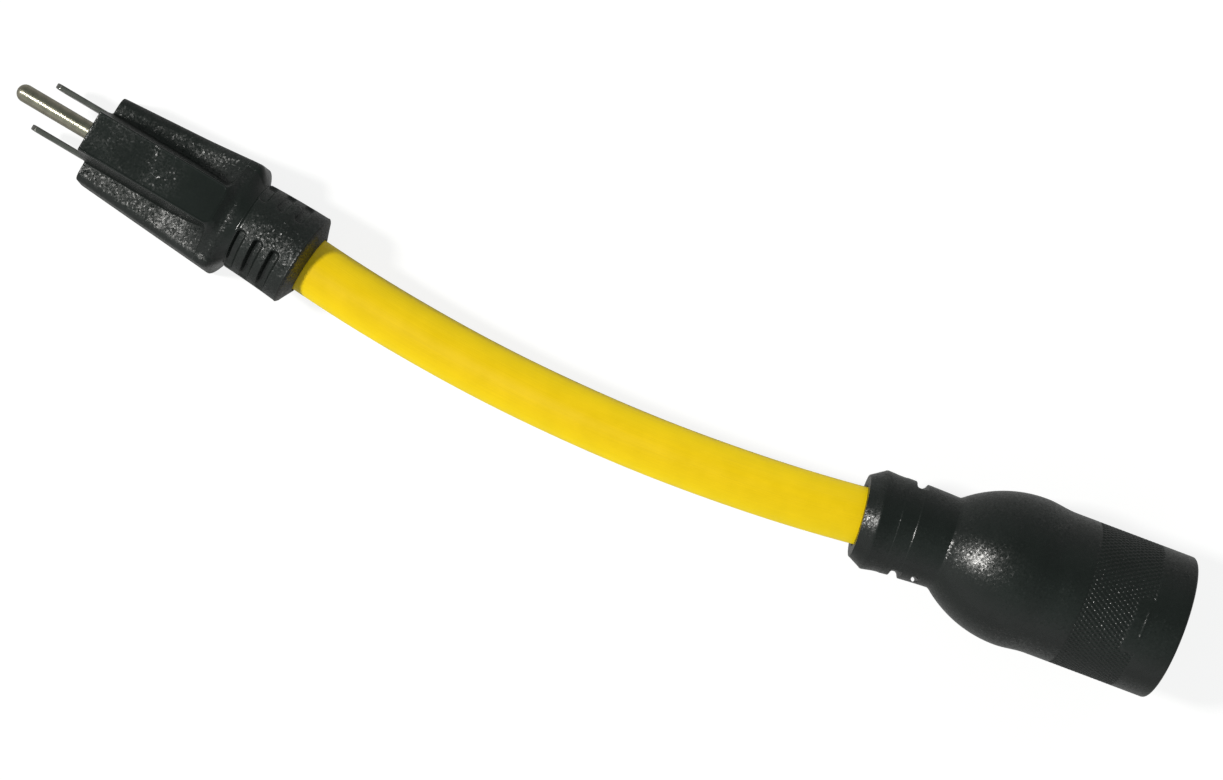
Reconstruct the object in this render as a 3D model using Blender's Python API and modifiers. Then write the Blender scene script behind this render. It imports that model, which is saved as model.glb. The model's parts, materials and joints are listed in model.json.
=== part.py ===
"""Power adapter dogbone: three-pin plug, short thick cord, locking female connector.

The adapter is drawn straight first, along +X, in a frame with its origin on the cord's axis at
the plug's front face: x runs toward the connector, y is sideways and z is up. Every piece is then
laid along the route of the cord, which bows sideways and climbs from the plug to the connector.
"""
import math

import bmesh
import bpy
import numpy as np
from mathutils import Matrix, Vector

MM = 0.001
GAP = 0.3 * MM                  # clearance between pieces that touch

# Plug body: a flat slab over the blades with a raised ridge over the ground pin
PLUG_AXIS_HEIGHT = 13.6 * MM    # cord axis above the plug's flat back
PLUG_BODY_LEN = 41.0 * MM
PLUG_SHOULDER_LEN = 4.4 * MM
RELIEF_CORNER = 62.5 * MM       # where the strain relief turns in toward the cord
PLUG_LEN = 64.6 * MM            # face to the end of the strain relief
FACE_HALF_WIDTH = 13.0 * MM
SHOULDER_HALF_WIDTH = 16.05 * MM
WING_TOP = 0.5 * MM             # heights from the cord axis
WING_CLIMB = 6.5 * MM           # the wings rise to the shoulder behind them
WING_CLIMB_START = 24.0 * MM
WING_CLIMB_LEN = 16.0 * MM
RIDGE_TOP = 12.6 * MM
RIDGE_HALF_TOP = 5.8 * MM
RIDGE_HALF_BASE = 7.7 * MM
RIDGE_LEN = 38.2 * MM
RIDGE_DROP = 2.3 * MM           # step down behind the ridge
RIDGE_DROP_LEN = 2.4 * MM
RELIEF_FRONT_R = 12.3 * MM
RELIEF_END_R = 13.05 * MM
RELIEF_MOUTH_R = 8.6 * MM
RELIEF_SLOT_AT = 46.6 * MM      # middle of the first row of slots
RELIEF_SLOT_PITCH = 5.2 * MM
RELIEF_SLOT_WIDTH = 1.8 * MM
RELIEF_SLOT_R = 10.3 * MM       # floor of the slots
RELIEF_SLOT_HALF = 34.0         # degrees
EDGE = 0.5 * MM
BACK_CORNER = 2.0 * MM          # roundings of the plug's section
WING_CORNER = 3.0 * MM
RIDGE_FOOT = 1.6 * MM
RIDGE_CREST = 0.8 * MM
SIDE_LEAN = 0.4 * MM            # the sides lean in toward the top
LEAST_RIDGE = 0.4 * MM

# Blades and ground pin
PITCH = 12.7 * MM               # between the blades' centres
PIN_RISE = 11.9 * MM            # ground pin above the blades' line
BLADE_LEN = 17.2 * MM
BLADE_HEIGHT = 6.35 * MM
BLADE_THICK = 1.5 * MM
BLADE_CHAMFER = 1.6 * MM
BLADE_HOLE_R = 1.6 * MM
BLADE_HOLE_AT = 4.0 * MM        # from the blade's tip
PIN_LEN = 23.2 * MM
PIN_R = 2.37 * MM
BLADE_Z = -4.9 * MM             # from the cord axis
PIN_Z = BLADE_Z + PIN_RISE
BRIDGE_LEN = 9.0 * MM
BRIDGE_HALF_WIDE = 9.9 * MM
BRIDGE_HALF_NARROW = 4.0 * MM
BRIDGE_LOW = -11.0 * MM
BRIDGE_STEP = -0.8 * MM
BRIDGE_HIGH = 10.6 * MM

# Crimp barrels behind the blades, the pin and the contacts
CRIMP_R = 2.55 * MM
CRIMP_BORE_R = 1.85 * MM
CRIMP_LEN = 8.0 * MM
NECK_LEN = 2.0 * MM
NECK_R = 1.4 * MM
BLADE_NECK_HALF = 0.65 * MM
CHAMBER_R = CRIMP_R + GAP

# Cord
CORD_R = 7.7 * MM
CORD_BORE_R = 5.45 * MM
CORD_LEN = 158.8 * MM           # in the open, between the two strain reliefs
CORE_R = 2.3 * MM
CORE_WALL = 0.5 * MM
WIRE_R = 1.5 * MM
FILLER_R = 1.0 * MM
CORE_ORBIT = (2 * CORE_R + GAP) / math.sqrt(3)
FILLER_ORBIT = 4.1 * MM
CORD_STEPS = 21                 # straight lengths that make up a curved tube
CORE_STEPS = 17
LAY_TURNS = 1.0                 # turns of the cores along the jacket
LEAD = 2.5 * MM                 # straight run of a core behind its crimp barrel

# Connector: strain relief, bulb and straight barrel
CONN_LEN = 85.9 * MM            # end of the strain relief to the face
BARREL_R = 19.45 * MM
BULB_R = 20.25 * MM
BULB_AT = 41.5 * MM             # distances from the face
BULB_ARC_R = 32.5 * MM
BULB_REAR = 62.4 * MM
BARREL_LEN = 33.0 * MM
SLEEVE_AT = 63.4 * MM
SLEEVE_R = 12.5 * MM
SLEEVE_END_R = 13.3 * MM
CHAMFER_AT = 82.0 * MM
CHAMFER_R = 11.0 * MM
SLEEVE_SWELL = 0.4 * MM         # growth of the sleeve's radius up to its notches
NOTCH_AT = 72.9 * MM            # notches in the strain relief's sides
NOTCH_HALF_WIDTH = 1.55 * MM
NOTCH_R = 11.5 * MM
NOTCH_HALF = 30.0               # degrees
EYELET_AT = 67.3 * MM           # small hole through one edge of the strain relief
EYELET_HALF_WIDTH = 1.0 * MM
EYELET_SPAN = (-12.3 * MM, -11.0 * MM)
EYELET_HALF_LEN = 8.0 * MM
INSERT_R = 16.9 * MM
INSERT_LEN = 28.0 * MM
INSERT_RECESS = 0.5 * MM
COVER_LEN = 3.5 * MM
SLOT_R = 12.4 * MM              # circle of the curved slots
SLOT_HALF = 1.1 * MM
LEAF_GAP_HALF = 0.85 * MM
LEAF_THICK = 0.8 * MM
SLOT_DEPTH = 8.0 * MM
CONTACT_LEN = 18.0 * MM
GROUND_HOOK = 8.6 * MM          # inner end of the ground slot's hook, from the axis
GROUND_HOOK_TURN = 16.9         # degrees, from the middle of the ground slot
WEB_LEN = 1.2 * MM              # joins a contact's two leaves
FACE_SLOT_EASE = 2.0            # degrees left at each end, from a contact's pocket
LEAF_EASE = 1.5
WEB_EASE = 2.0
OVER = 1.0 * MM                 # how far a cutter runs past a face
OUTSIDE_R = 16.0 * MM           # beyond the strain reliefs' surface

# Headings of the route, in degrees, at its stations
PLUG_HEADING = -5.5
CORD_START_HEADING = -9.2
CORD_END_HEADING = 10.0
CONN_HEADING = 4.45

# Stations along the straight adapter
RELIEF_AT = PLUG_BODY_LEN + PLUG_SHOULDER_LEN
CORD_START = PLUG_LEN
CORD_END = PLUG_LEN + CORD_LEN
SLEEVE_START = CORD_END + CONN_LEN - SLEEVE_AT
FACE = CORD_END + CONN_LEN
JACKET_START = 36.0 * MM
JACKET_END = FACE - 62.0 * MM
RISE = BULB_R - PLUG_AXIS_HEIGHT  # climb of the axis, so both ends lie on the floor

# name: plug terminal (y, z), contact's angle on the connector's face, contact's half angle
TERMINALS = {
    "ground": ((0.0, PIN_Z), 90.0, 24.0),
    "hot": ((-PITCH / 2, BLADE_Z), 210.0, 24.0),
    "neutral": ((PITCH / 2, BLADE_Z), 330.0, 29.0),
}

COLOURS = {
    "black_pvc": ((0.016, 0.017, 0.018), 0.5, 0.0),
    "black_hard_plastic": ((0.012, 0.012, 0.013), 0.38, 0.0),
    "yellow_pvc": ((0.86, 0.62, 0.02), 0.42, 0.0),
    "nickel_plate": ((0.66, 0.63, 0.56), 0.24, 1.0),
    "brass": ((0.72, 0.52, 0.22), 0.3, 1.0),
    "copper": ((0.85, 0.42, 0.25), 0.35, 1.0),
    "black_insulation": ((0.02, 0.02, 0.02), 0.5, 0.0),
    "white_insulation": ((0.8, 0.8, 0.78), 0.5, 0.0),
    "green_insulation": ((0.03, 0.3, 0.08), 0.5, 0.0),
    "jute": ((0.55, 0.45, 0.3), 0.9, 0.0),
}


# ---- scene ----

def clear_scene():
    for obj in list(bpy.data.objects):
        bpy.data.objects.remove(obj, do_unlink=True)


def make_collection(name):
    collection = bpy.data.collections.new(name)
    bpy.context.scene.collection.children.link(collection)
    return collection


def material(name):
    found = bpy.data.materials.get(name)
    if found:
        return found
    colour, roughness, metallic = COLOURS[name]
    made = bpy.data.materials.new(name)
    made.use_nodes = True
    shader = made.node_tree.nodes["Principled BSDF"]
    shader.inputs["Base Color"].default_value = (*colour, 1.0)
    shader.inputs["Roughness"].default_value = roughness
    shader.inputs["Metallic"].default_value = metallic
    return made


# ---- route of the cord ----

def build_route():
    """Axis points, headings and pitches at fine steps from the plug's face to the connector's."""
    along = np.linspace(0.0, FACE, 1200)
    stations = [0.0, RELIEF_AT, RELIEF_CORNER, CORD_END, SLEEVE_START, FACE]
    turns = [PLUG_HEADING, PLUG_HEADING, CORD_START_HEADING,
             CORD_END_HEADING, CONN_HEADING, CONN_HEADING]
    heading = np.radians(np.interp(along, stations, turns))
    free = np.clip((along - CORD_START) / CORD_LEN, 0.0, 1.0)
    pitch = 2 * RISE / CORD_LEN * np.sin(np.pi * free) ** 2
    tangent = np.stack([np.cos(pitch) * np.cos(heading),
                        np.cos(pitch) * np.sin(heading), np.sin(pitch)], axis=1)
    step = along[1] - along[0]
    middle = (tangent[1:] + tangent[:-1]) / 2 * step
    points = np.vstack([[0.0, 0.0, 0.0], np.cumsum(middle, axis=0)])
    return along, points, heading, pitch


ROUTE = build_route()


def on_route(x, y=0.0, z=0.0):
    """World position of a point of the straight adapter, before the final centring."""
    along, points, heading, pitch = ROUTE
    inside = min(max(x, 0.0), FACE)
    base = Vector([float(np.interp(inside, along, points[:, axis])) for axis in range(3)])
    h = float(np.interp(inside, along, heading))
    p = float(np.interp(inside, along, pitch))
    tangent = Vector((math.cos(p) * math.cos(h), math.cos(p) * math.sin(h), math.sin(p)))
    side = Vector((-math.sin(h), math.cos(h), 0.0))
    up = tangent.cross(side)
    return base + tangent * (x - inside) + side * y + up * z


# ---- shape helpers ----

def add_object(name, mesh, collection):
    obj = bpy.data.objects.new(name, mesh)
    collection.objects.link(obj)
    return obj


def paint(obj, material_name):
    obj.data.materials.clear()
    obj.data.materials.append(material(material_name))


def as_cutter(obj):
    obj.hide_render = True
    obj.display_type = "WIRE"
    return obj


def baked(obj):
    """Replace the object's mesh by its evaluated one, with welded caps and outward faces."""
    depsgraph = bpy.context.evaluated_depsgraph_get()
    mesh = bpy.data.meshes.new_from_object(obj.evaluated_get(depsgraph))
    mesh.transform(obj.matrix_world)
    name, collection = obj.name, obj.users_collection[0]
    hidden, display = obj.hide_render, obj.display_type
    bpy.data.objects.remove(obj, do_unlink=True)
    bm = bmesh.new()
    bm.from_mesh(mesh)
    bmesh.ops.remove_doubles(bm, verts=bm.verts, dist=0.000002)
    bmesh.ops.recalc_face_normals(bm, faces=bm.faces)
    bm.to_mesh(mesh)
    bm.free()
    made = bpy.data.objects.new(name, mesh)
    made.hide_render, made.display_type = hidden, display
    collection.objects.link(made)
    return made


def combine(obj, other, operation):
    modifier = obj.modifiers.new(other.name, "BOOLEAN")
    modifier.operation = operation
    modifier.object = other
    modifier.solver = "EXACT"


def cut(obj, *cutters):
    for cutter in cutters:
        combine(obj, as_cutter(cutter), "DIFFERENCE")
    return baked(obj)


def join(obj, *others):
    for other in others:
        combine(obj, other, "UNION")
    made = baked(obj)
    for other in others:
        bpy.data.objects.remove(other, do_unlink=True)
    return made


def turned(name, collection, profile, steps=24, y=0.0, z=0.0):
    """Turn (x, radius) points, the first and last on the axis, about a line along X at (y, z)."""
    edges = [(i, i + 1) for i in range(len(profile) - 1)]
    mesh = bpy.data.meshes.new(name)
    mesh.from_pydata([(radius, 0.0, x) for x, radius in profile], edges, [])
    obj = add_object(name, mesh, collection)
    screw = obj.modifiers.new("Screw", "SCREW")
    screw.steps = screw.render_steps = steps
    screw.use_merge_vertices = True
    screw.merge_threshold = 0.00001
    quarter = math.radians(90)
    obj.matrix_world = (Matrix.Translation((0.0, y, z)) @ Matrix.Rotation(quarter, 4, "X")
                        @ Matrix.Rotation(quarter, 4, "Y"))
    bpy.context.view_layer.update()
    return baked(obj)


def rod(name, collection, x0, x1, radius, steps=16, y=0.0, z=0.0, rings=1):
    """A round rod along X."""
    shaft = [(x1 - (x1 - x0) * i / rings, radius) for i in range(rings + 1)]
    return turned(name, collection, [(x1, 0.0), *shaft, (x0, 0.0)], steps, y, z)


def sector(name, collection, x0, x1, r0, r1, middle, half, steps=8):
    """A ring's sector about the X axis, between two radii and about a middle angle."""
    bm = bmesh.new()
    rings = []
    for i in range(steps + 1):
        angle = math.radians(middle - half + 2 * half * i / steps)
        rings.append([bm.verts.new((x, r * math.cos(angle), r * math.sin(angle)))
                      for x, r in ((x0, r0), (x1, r0), (x1, r1), (x0, r1))])
    for a, b in zip(rings, rings[1:]):
        for k in range(4):
            bm.faces.new((a[k], a[(k + 1) % 4], b[(k + 1) % 4], b[k]))
    bm.faces.new(rings[0])
    bm.faces.new(rings[-1][::-1])
    bmesh.ops.recalc_face_normals(bm, faces=bm.faces)
    mesh = bpy.data.meshes.new(name)
    bm.to_mesh(mesh)
    bm.free()
    return add_object(name, mesh, collection)


def block(name, collection, x, y, z):
    """A box between pairs of limits, with the scale applied."""
    bm = bmesh.new()
    bmesh.ops.create_cube(bm, size=1.0)
    size = Vector((x[1] - x[0], y[1] - y[0], z[1] - z[0]))
    middle = Vector((x[0] + x[1], y[0] + y[1], z[0] + z[1])) / 2
    bmesh.ops.scale(bm, vec=size, verts=bm.verts)
    bmesh.ops.translate(bm, vec=middle, verts=bm.verts)
    mesh = bpy.data.meshes.new(name)
    bm.to_mesh(mesh)
    bm.free()
    return add_object(name, mesh, collection)


def plate(name, collection, outline, x0, x1):
    """A flat (y, z) outline given thickness along X."""
    bm = bmesh.new()
    face = bm.faces.new([bm.verts.new((x0, y, z)) for y, z in outline])
    moved = bmesh.ops.extrude_face_region(bm, geom=[face])["geom"]
    verts = [item for item in moved if isinstance(item, bmesh.types.BMVert)]
    bmesh.ops.translate(bm, vec=(x1 - x0, 0.0, 0.0), verts=verts)
    bmesh.ops.recalc_face_normals(bm, faces=bm.faces)
    mesh = bpy.data.meshes.new(name)
    bm.to_mesh(mesh)
    bm.free()
    return add_object(name, mesh, collection)


def tube(name, collection, points, radius, resolution=3, wall=None):
    """A round tube along points: solid, or hollow when a wall is given."""
    curve = bpy.data.curves.new(name, "CURVE")
    curve.dimensions = "3D"
    curve.bevel_depth = radius
    curve.bevel_resolution = resolution
    curve.use_fill_caps = wall is None
    spline = curve.splines.new("POLY")
    spline.points.add(len(points) - 1)
    for target, point in zip(spline.points, points):
        target.co = (*point, 1.0)
    obj = baked(add_object(name, curve, collection))
    if wall is not None:
        solid = obj.modifiers.new("Solidify", "SOLIDIFY")
        solid.thickness = wall
        solid.offset = -1.0
        solid.use_even_offset = True
        obj = baked(obj)
    return obj


def lay(obj, material_name):
    """Lay a finished straight piece along the route."""
    for vertex in obj.data.vertices:
        vertex.co = on_route(*vertex.co)
    paint(obj, material_name)
    obj.data.shade_smooth()
    obj.data.set_sharp_from_angle(angle=math.radians(35))
    return obj


# ---- plug ----

def smooth(t):
    t = min(max(t, 0.0), 1.0)
    return t * t * (3 - 2 * t)


def hat_half(half_width, wing, ridge, inset=0.0):
    """Right half of the plug's section, from the middle of its back to the top of its ridge."""
    side, wing, ridge = half_width - inset, wing - inset, ridge - inset
    back = -PLUG_AXIS_HEIGHT + inset
    step = max(ridge - wing, LEAST_RIDGE)
    foot, crest = min(RIDGE_FOOT, step / 3), min(RIDGE_CREST, step / 4)
    top, base = RIDGE_HALF_TOP - inset, RIDGE_HALF_BASE - inset
    low, high = back + BACK_CORNER, wing - WING_CORNER
    soft = 1 - math.sqrt(0.5)
    edge = side - SIDE_LEAN
    rise = [(side - SIDE_LEAN * t / 2, low + (high - low) * t) for t in (0.0, 1 / 3, 2 / 3)]
    return [
        (0.0, back), (side / 2, back), (side - BACK_CORNER, back),
        (side - BACK_CORNER * soft, back + BACK_CORNER * soft), *rise,
        (edge, high), (edge - WING_CORNER * soft, wing - WING_CORNER * soft), (edge - WING_CORNER, wing),
        (base + foot, wing), (base + foot * soft, wing + foot * soft), (base, wing + foot),
        ((base + top) / 2, (wing + foot + ridge - crest) / 2), (top, ridge - crest),
        (top - crest * soft, ridge - crest * soft), (top - crest, ridge), (0.0, ridge),
    ]


def round_half(radius, count):
    """Right half of a circle with as many points, bottom to top."""
    angles = [math.pi * i / (count - 1) - math.pi / 2 for i in range(count)]
    return [(radius * math.cos(angle), radius * math.sin(angle)) for angle in angles]


def relief_radius(x):
    """Radius of the plug's strain relief: a slight taper out, then a short cone down to the cord."""
    if x > RELIEF_CORNER:
        fall = (x - RELIEF_CORNER) / (PLUG_LEN - RELIEF_CORNER)
        return RELIEF_END_R + (RELIEF_MOUTH_R - RELIEF_END_R) * fall
    along = max(x - RELIEF_AT, 0.0) / (RELIEF_CORNER - RELIEF_AT)
    return RELIEF_FRONT_R + (RELIEF_END_R - RELIEF_FRONT_R) * along


def plug_half_section(x):
    """Half section of the plug moulding at a distance from its face."""
    grow = min(x / PLUG_BODY_LEN, 1.0)
    width = FACE_HALF_WIDTH + (SHOULDER_HALF_WIDTH - FACE_HALF_WIDTH) * grow
    wing = WING_TOP + WING_CLIMB * smooth((x - WING_CLIMB_START) / WING_CLIMB_LEN)
    ridge = RIDGE_TOP - RIDGE_DROP * smooth((x - RIDGE_LEN) / RIDGE_DROP_LEN)
    body = hat_half(width, wing, ridge, EDGE if x <= 0.0 else 0.0)
    over = (x - PLUG_BODY_LEN) / PLUG_SHOULDER_LEN
    if over <= 0.0:
        return body
    ring = round_half(relief_radius(x), len(body))
    mix = 1.0 - math.cos(min(over, 1.0) * math.pi / 2)
    return [(b[0] + (r[0] - b[0]) * mix, b[1] + (r[1] - b[1]) * mix) for b, r in zip(body, ring)]


def plug_skin(collection):
    """The plug's outer form: sections lofted from the face to the end of the strain relief."""
    climb = [WING_CLIMB_START + WING_CLIMB_LEN * t for t in (0.0, 0.3, 0.55, 0.75)]
    drop = [RIDGE_LEN + RIDGE_DROP_LEN * t for t in (0.0, 1 / 3, 2 / 3)]
    shoulder = [PLUG_BODY_LEN + PLUG_SHOULDER_LEN * t for t in (0.0, 0.25, 0.5, 0.7, 0.85, 0.95, 1.0)]
    relief = [RELIEF_AT + (RELIEF_CORNER - RELIEF_AT) * t for t in (0.25, 0.5, 0.75, 1.0)]
    bm = bmesh.new()
    rings = []
    for x in [0.0, EDGE, WING_CLIMB_START / 2, *climb, *drop, *shoulder, *relief, PLUG_LEN]:
        half = plug_half_section(x)
        whole = half + [(-y, z) for y, z in half[-2:0:-1]]
        rings.append([bm.verts.new((x, y, z)) for y, z in whole])
    for a, b in zip(rings, rings[1:]):
        for k in range(len(a)):
            n = (k + 1) % len(a)
            bm.faces.new((a[k], a[n], b[n], b[k]))
    bm.faces.new(rings[0])
    bm.faces.new(rings[-1][::-1])
    bmesh.ops.recalc_face_normals(bm, faces=bm.faces)
    mesh = bpy.data.meshes.new("plug_overmould")
    bm.to_mesh(mesh)
    bm.free()
    return add_object("plug_overmould", mesh, collection)


def bridge_outline(clear=0.0):
    """Outline of the carrier: wide over the blades, narrow over the pin."""
    wide, narrow = BRIDGE_HALF_WIDE + clear, BRIDGE_HALF_NARROW + clear
    low, step, high = BRIDGE_LOW - clear, BRIDGE_STEP + clear, BRIDGE_HIGH + clear
    return [(-wide, low), (wide, low), (wide, step), (narrow, step),
            (narrow, high), (-narrow, high), (-narrow, step), (-wide, step)]


def crimp_start():
    return BRIDGE_LEN + NECK_LEN


def crimp_end():
    return crimp_start() + CRIMP_LEN


def bored(obj, x_end, y, z, cutters):
    """Bore a crimp barrel from its open end."""
    bore = rod(obj.name + "_bore", cutters, x_end - CRIMP_LEN + OVER, x_end + OVER,
               CRIMP_BORE_R, steps=10, y=y, z=z)
    return cut(obj, bore)


def make_blade(name, side, parts, cutters):
    """A flat blade with chamfered tip, a hole, a neck and a crimp barrel."""
    y = side * PITCH / 2
    half, tip, rear = BLADE_HEIGHT / 2, -BLADE_LEN + BLADE_CHAMFER, BRIDGE_LEN - GAP
    outline = [(tip, -half), (rear, -half), (rear, half), (tip, half),
               (-BLADE_LEN, half - BLADE_CHAMFER), (-BLADE_LEN, -half + BLADE_CHAMFER)]
    bm = bmesh.new()
    face = bm.faces.new([bm.verts.new((x, y - BLADE_THICK / 2, BLADE_Z + z)) for x, z in outline])
    moved = bmesh.ops.extrude_face_region(bm, geom=[face])["geom"]
    bmesh.ops.translate(bm, vec=(0.0, BLADE_THICK, 0.0),
                        verts=[item for item in moved if isinstance(item, bmesh.types.BMVert)])
    bmesh.ops.recalc_face_normals(bm, faces=bm.faces)
    mesh = bpy.data.meshes.new(name)
    bm.to_mesh(mesh)
    bm.free()
    blade = add_object(name, mesh, parts)
    neck = block(name + "_neck", cutters, (rear - OVER, crimp_start() + OVER),
                 (y - BLADE_NECK_HALF, y + BLADE_NECK_HALF), (BLADE_Z - NECK_R, BLADE_Z + NECK_R))
    barrel = rod(name + "_barrel", cutters, crimp_start(), crimp_end(), CRIMP_R,
                 steps=16, y=y, z=BLADE_Z)
    blade = join(blade, neck, barrel)
    hole = rod(name + "_hole", cutters, -BLADE_THICK, BLADE_THICK, BLADE_HOLE_R, steps=12)
    hole.data.transform(Matrix.Translation((-BLADE_LEN + BLADE_HOLE_AT, y, BLADE_Z))
                        @ Matrix.Rotation(math.radians(90), 4, "Z"))
    blade = cut(blade, hole)
    blade = bored(blade, crimp_end(), y, BLADE_Z, cutters)
    return lay(blade, "nickel_plate")


def make_ground_pin(parts, cutters):
    """A round pin with a domed tip, a neck and a crimp barrel."""
    arc = [math.radians(18 * i) for i in range(5)]
    dome = [(-PIN_LEN + PIN_R * (1 - math.sin(a)), PIN_R * math.cos(a)) for a in arc]
    profile = [(crimp_end(), 0.0), (crimp_end(), CRIMP_R), (crimp_start(), CRIMP_R),
               (crimp_start() - EDGE, NECK_R), (BRIDGE_LEN, NECK_R),
               (BRIDGE_LEN - EDGE, PIN_R), *dome, (-PIN_LEN, 0.0)]
    pin = turned("ground_pin", parts, profile, steps=20, z=PIN_Z)
    pin = bored(pin, crimp_end(), 0.0, PIN_Z, cutters)
    return lay(pin, "nickel_plate")


def make_bridge(parts, cutters):
    bridge = plate("plug_bridge", parts, bridge_outline(), 0.0, BRIDGE_LEN)
    cuts = [rod("bridge_pin_hole", cutters, -OVER, BRIDGE_LEN + OVER, PIN_R + GAP,
                steps=20, z=PIN_Z)]
    for side in (-1, 1):
        y, reach = side * PITCH / 2, BLADE_THICK / 2 + GAP
        tall = BLADE_HEIGHT / 2 + GAP
        cuts.append(block(f"bridge_slot_{side}", cutters, (-OVER, BRIDGE_LEN + OVER),
                          (y - reach, y + reach), (BLADE_Z - tall, BLADE_Z + tall)))
    return lay(cut(bridge, *cuts), "black_hard_plastic")


def make_plug_overmould(parts, cutters):
    skin = plug_skin(parts)
    cuts = [plate("bridge_pocket", cutters, bridge_outline(GAP), -OVER, BRIDGE_LEN + GAP),
            rod("plug_cord_bore", cutters, JACKET_START - GAP, PLUG_LEN + OVER, CORD_R + GAP,
                steps=24, rings=3)]
    for name, ((y, z), _, _) in TERMINALS.items():
        cuts.append(rod(f"plug_chamber_{name}", cutters, BRIDGE_LEN - OVER, crimp_end() + GAP,
                        CHAMBER_R, steps=14, y=y, z=z))
        tunnel = [core_point(name, x) for x in plug_fan(crimp_end() - OVER, JACKET_START + OVER)]
        cuts.append(tube(f"plug_tunnel_{name}", cutters, tunnel, CORE_R + GAP))
    for index in range(3):
        x = RELIEF_SLOT_AT + RELIEF_SLOT_PITCH * index
        for corner in range(4):
            cuts.append(sector(f"plug_relief_slot_{index}_{corner}", cutters,
                               x - RELIEF_SLOT_WIDTH / 2, x + RELIEF_SLOT_WIDTH / 2,
                               RELIEF_SLOT_R, OUTSIDE_R, 45.0 + 90.0 * corner,
                               RELIEF_SLOT_HALF, steps=6))
    return lay(cut(skin, *cuts), "black_pvc")


# ---- cord ----

def core_point(name, x):
    """Centre of a core in the straight adapter, at a distance from the plug's face."""
    (plug_y, plug_z), angle, _ = TERMINALS[name]
    turn = min(max((x - JACKET_START) / (JACKET_END - JACKET_START), 0.0), 1.0)
    theta = math.radians(angle + 360.0 * LAY_TURNS * turn)
    y, z = CORE_ORBIT * math.cos(theta), CORE_ORBIT * math.sin(theta)
    contact = math.radians(angle)
    end_y, end_z = SLOT_R * math.cos(contact), SLOT_R * math.sin(contact)
    fan_start, fan_end = crimp_end() + LEAD, JACKET_START - OVER
    out = 1 - smooth((x - fan_start) / (fan_end - fan_start))
    fan_start, fan_end = JACKET_END + OVER, contact_crimp()[0] - LEAD
    back = smooth((x - fan_start) / (fan_end - fan_start))
    y, z = y + (plug_y - y) * out, z + (plug_z - z) * out
    return (x, y + (end_y - y) * back, z + (end_z - z) * back)


def core_stations(x0, x1, count):
    return [x0 + (x1 - x0) * i / count for i in range(count + 1)]


def plug_fan(start, end):
    return [start, *core_stations(crimp_end() + LEAD, end, 5)]


def connector_fan(start, end):
    return [*core_stations(start, contact_crimp()[0] - LEAD, 6), end]


def make_core(name, colour, parts):
    """An insulated conductor: the insulation ends short of both crimp barrels."""
    start, end = crimp_end() + GAP, contact_crimp()[0] - GAP
    stations = (plug_fan(start, JACKET_START)
                + core_stations(JACKET_START, JACKET_END, CORE_STEPS)[1:]
                + connector_fan(JACKET_END, end)[1:])
    path = [on_route(*core_point(name, x)) for x in stations]
    paint(tube(f"insulation_{colour}", parts, path, CORE_R, wall=CORE_WALL), f"{colour}_insulation")
    strip = CRIMP_LEN - 2 * OVER
    ends = [on_route(*core_point(name, x)) for x in (start - strip, end + strip)]
    paint(tube(f"conductor_{name}", parts, [ends[0], *path, ends[1]], WIRE_R, resolution=2), "copper")


def make_filler(letter, angle, parts):
    path = []
    for x in core_stations(JACKET_START + GAP, JACKET_END - GAP, CORE_STEPS):
        turn = (x - JACKET_START) / (JACKET_END - JACKET_START)
        theta = math.radians(angle + 360.0 * LAY_TURNS * turn)
        path.append(on_route(x, FILLER_ORBIT * math.cos(theta), FILLER_ORBIT * math.sin(theta)))
    paint(tube(f"filler_{letter}", parts, path, FILLER_R, resolution=1), "jute")


def make_jacket(parts):
    path = [on_route(x) for x in core_stations(JACKET_START, JACKET_END, CORD_STEPS)]
    jacket = tube("cord_jacket", parts, path, CORD_R, resolution=4, wall=CORD_R - CORD_BORE_R)
    paint(jacket, "yellow_pvc")


# ---- connector ----

def from_face(distance):
    return FACE - distance


def contact_crimp():
    """Rear and front ends of the contacts' crimp barrels, along the straight adapter."""
    fore = from_face(INSERT_LEN + COVER_LEN)
    return fore - CRIMP_LEN, fore


def connector_profile():
    """Outline of the connector moulding as (x, radius), from its face to its relief's end."""
    profile = [(0.0, BARREL_R - EDGE), (EDGE, BARREL_R), (BARREL_LEN, BARREL_R)]
    for i in range(1, 4):
        t = i / 4
        swell = (1 - math.cos(math.pi * t)) / 2
        profile.append((BARREL_LEN + (BULB_AT - BARREL_LEN) * t,
                        BARREL_R + (BULB_R - BARREL_R) * swell))
    for i in range(8):
        back = (BULB_REAR - BULB_AT) * i / 7
        drop = BULB_ARC_R - math.sqrt(BULB_ARC_R ** 2 - back ** 2)
        profile.append((BULB_AT + back, BULB_R - drop))
    profile += [(SLEEVE_AT, SLEEVE_R), (NOTCH_AT, SLEEVE_R + SLEEVE_SWELL),
                (CHAMFER_AT, SLEEVE_END_R), (CONN_LEN, CHAMFER_R)]
    return [(from_face(distance), radius) for distance, radius in profile]


def make_connector_overmould(parts, cutters):
    pocket_end = from_face(INSERT_LEN + COVER_LEN + 2 * GAP)
    profile = [(FACE, 0.0), *connector_profile(), (CORD_END, 0.0)]
    solid = turned("connector_overmould", parts, profile, steps=40)
    cuts = [rod("connector_bore", cutters, CORD_END - OVER, JACKET_END + GAP, CORD_R + GAP,
                steps=24, rings=3),
            rod("insert_pocket", cutters, pocket_end, FACE + OVER, INSERT_R + GAP, steps=40)]
    rear, fore = contact_crimp()
    for name in TERMINALS:
        _, y, z = core_point(name, fore)
        cuts.append(rod(f"connector_chamber_{name}", cutters, rear - GAP, pocket_end + OVER,
                        CHAMBER_R, steps=14, y=y, z=z))
        tunnel = [core_point(name, x) for x in connector_fan(JACKET_END - OVER, rear + OVER)]
        cuts.append(tube(f"connector_tunnel_{name}", cutters, tunnel, CORE_R + GAP))
    return lay(cut(solid, *cuts, *relief_cuts(cutters)), "black_pvc")


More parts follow.
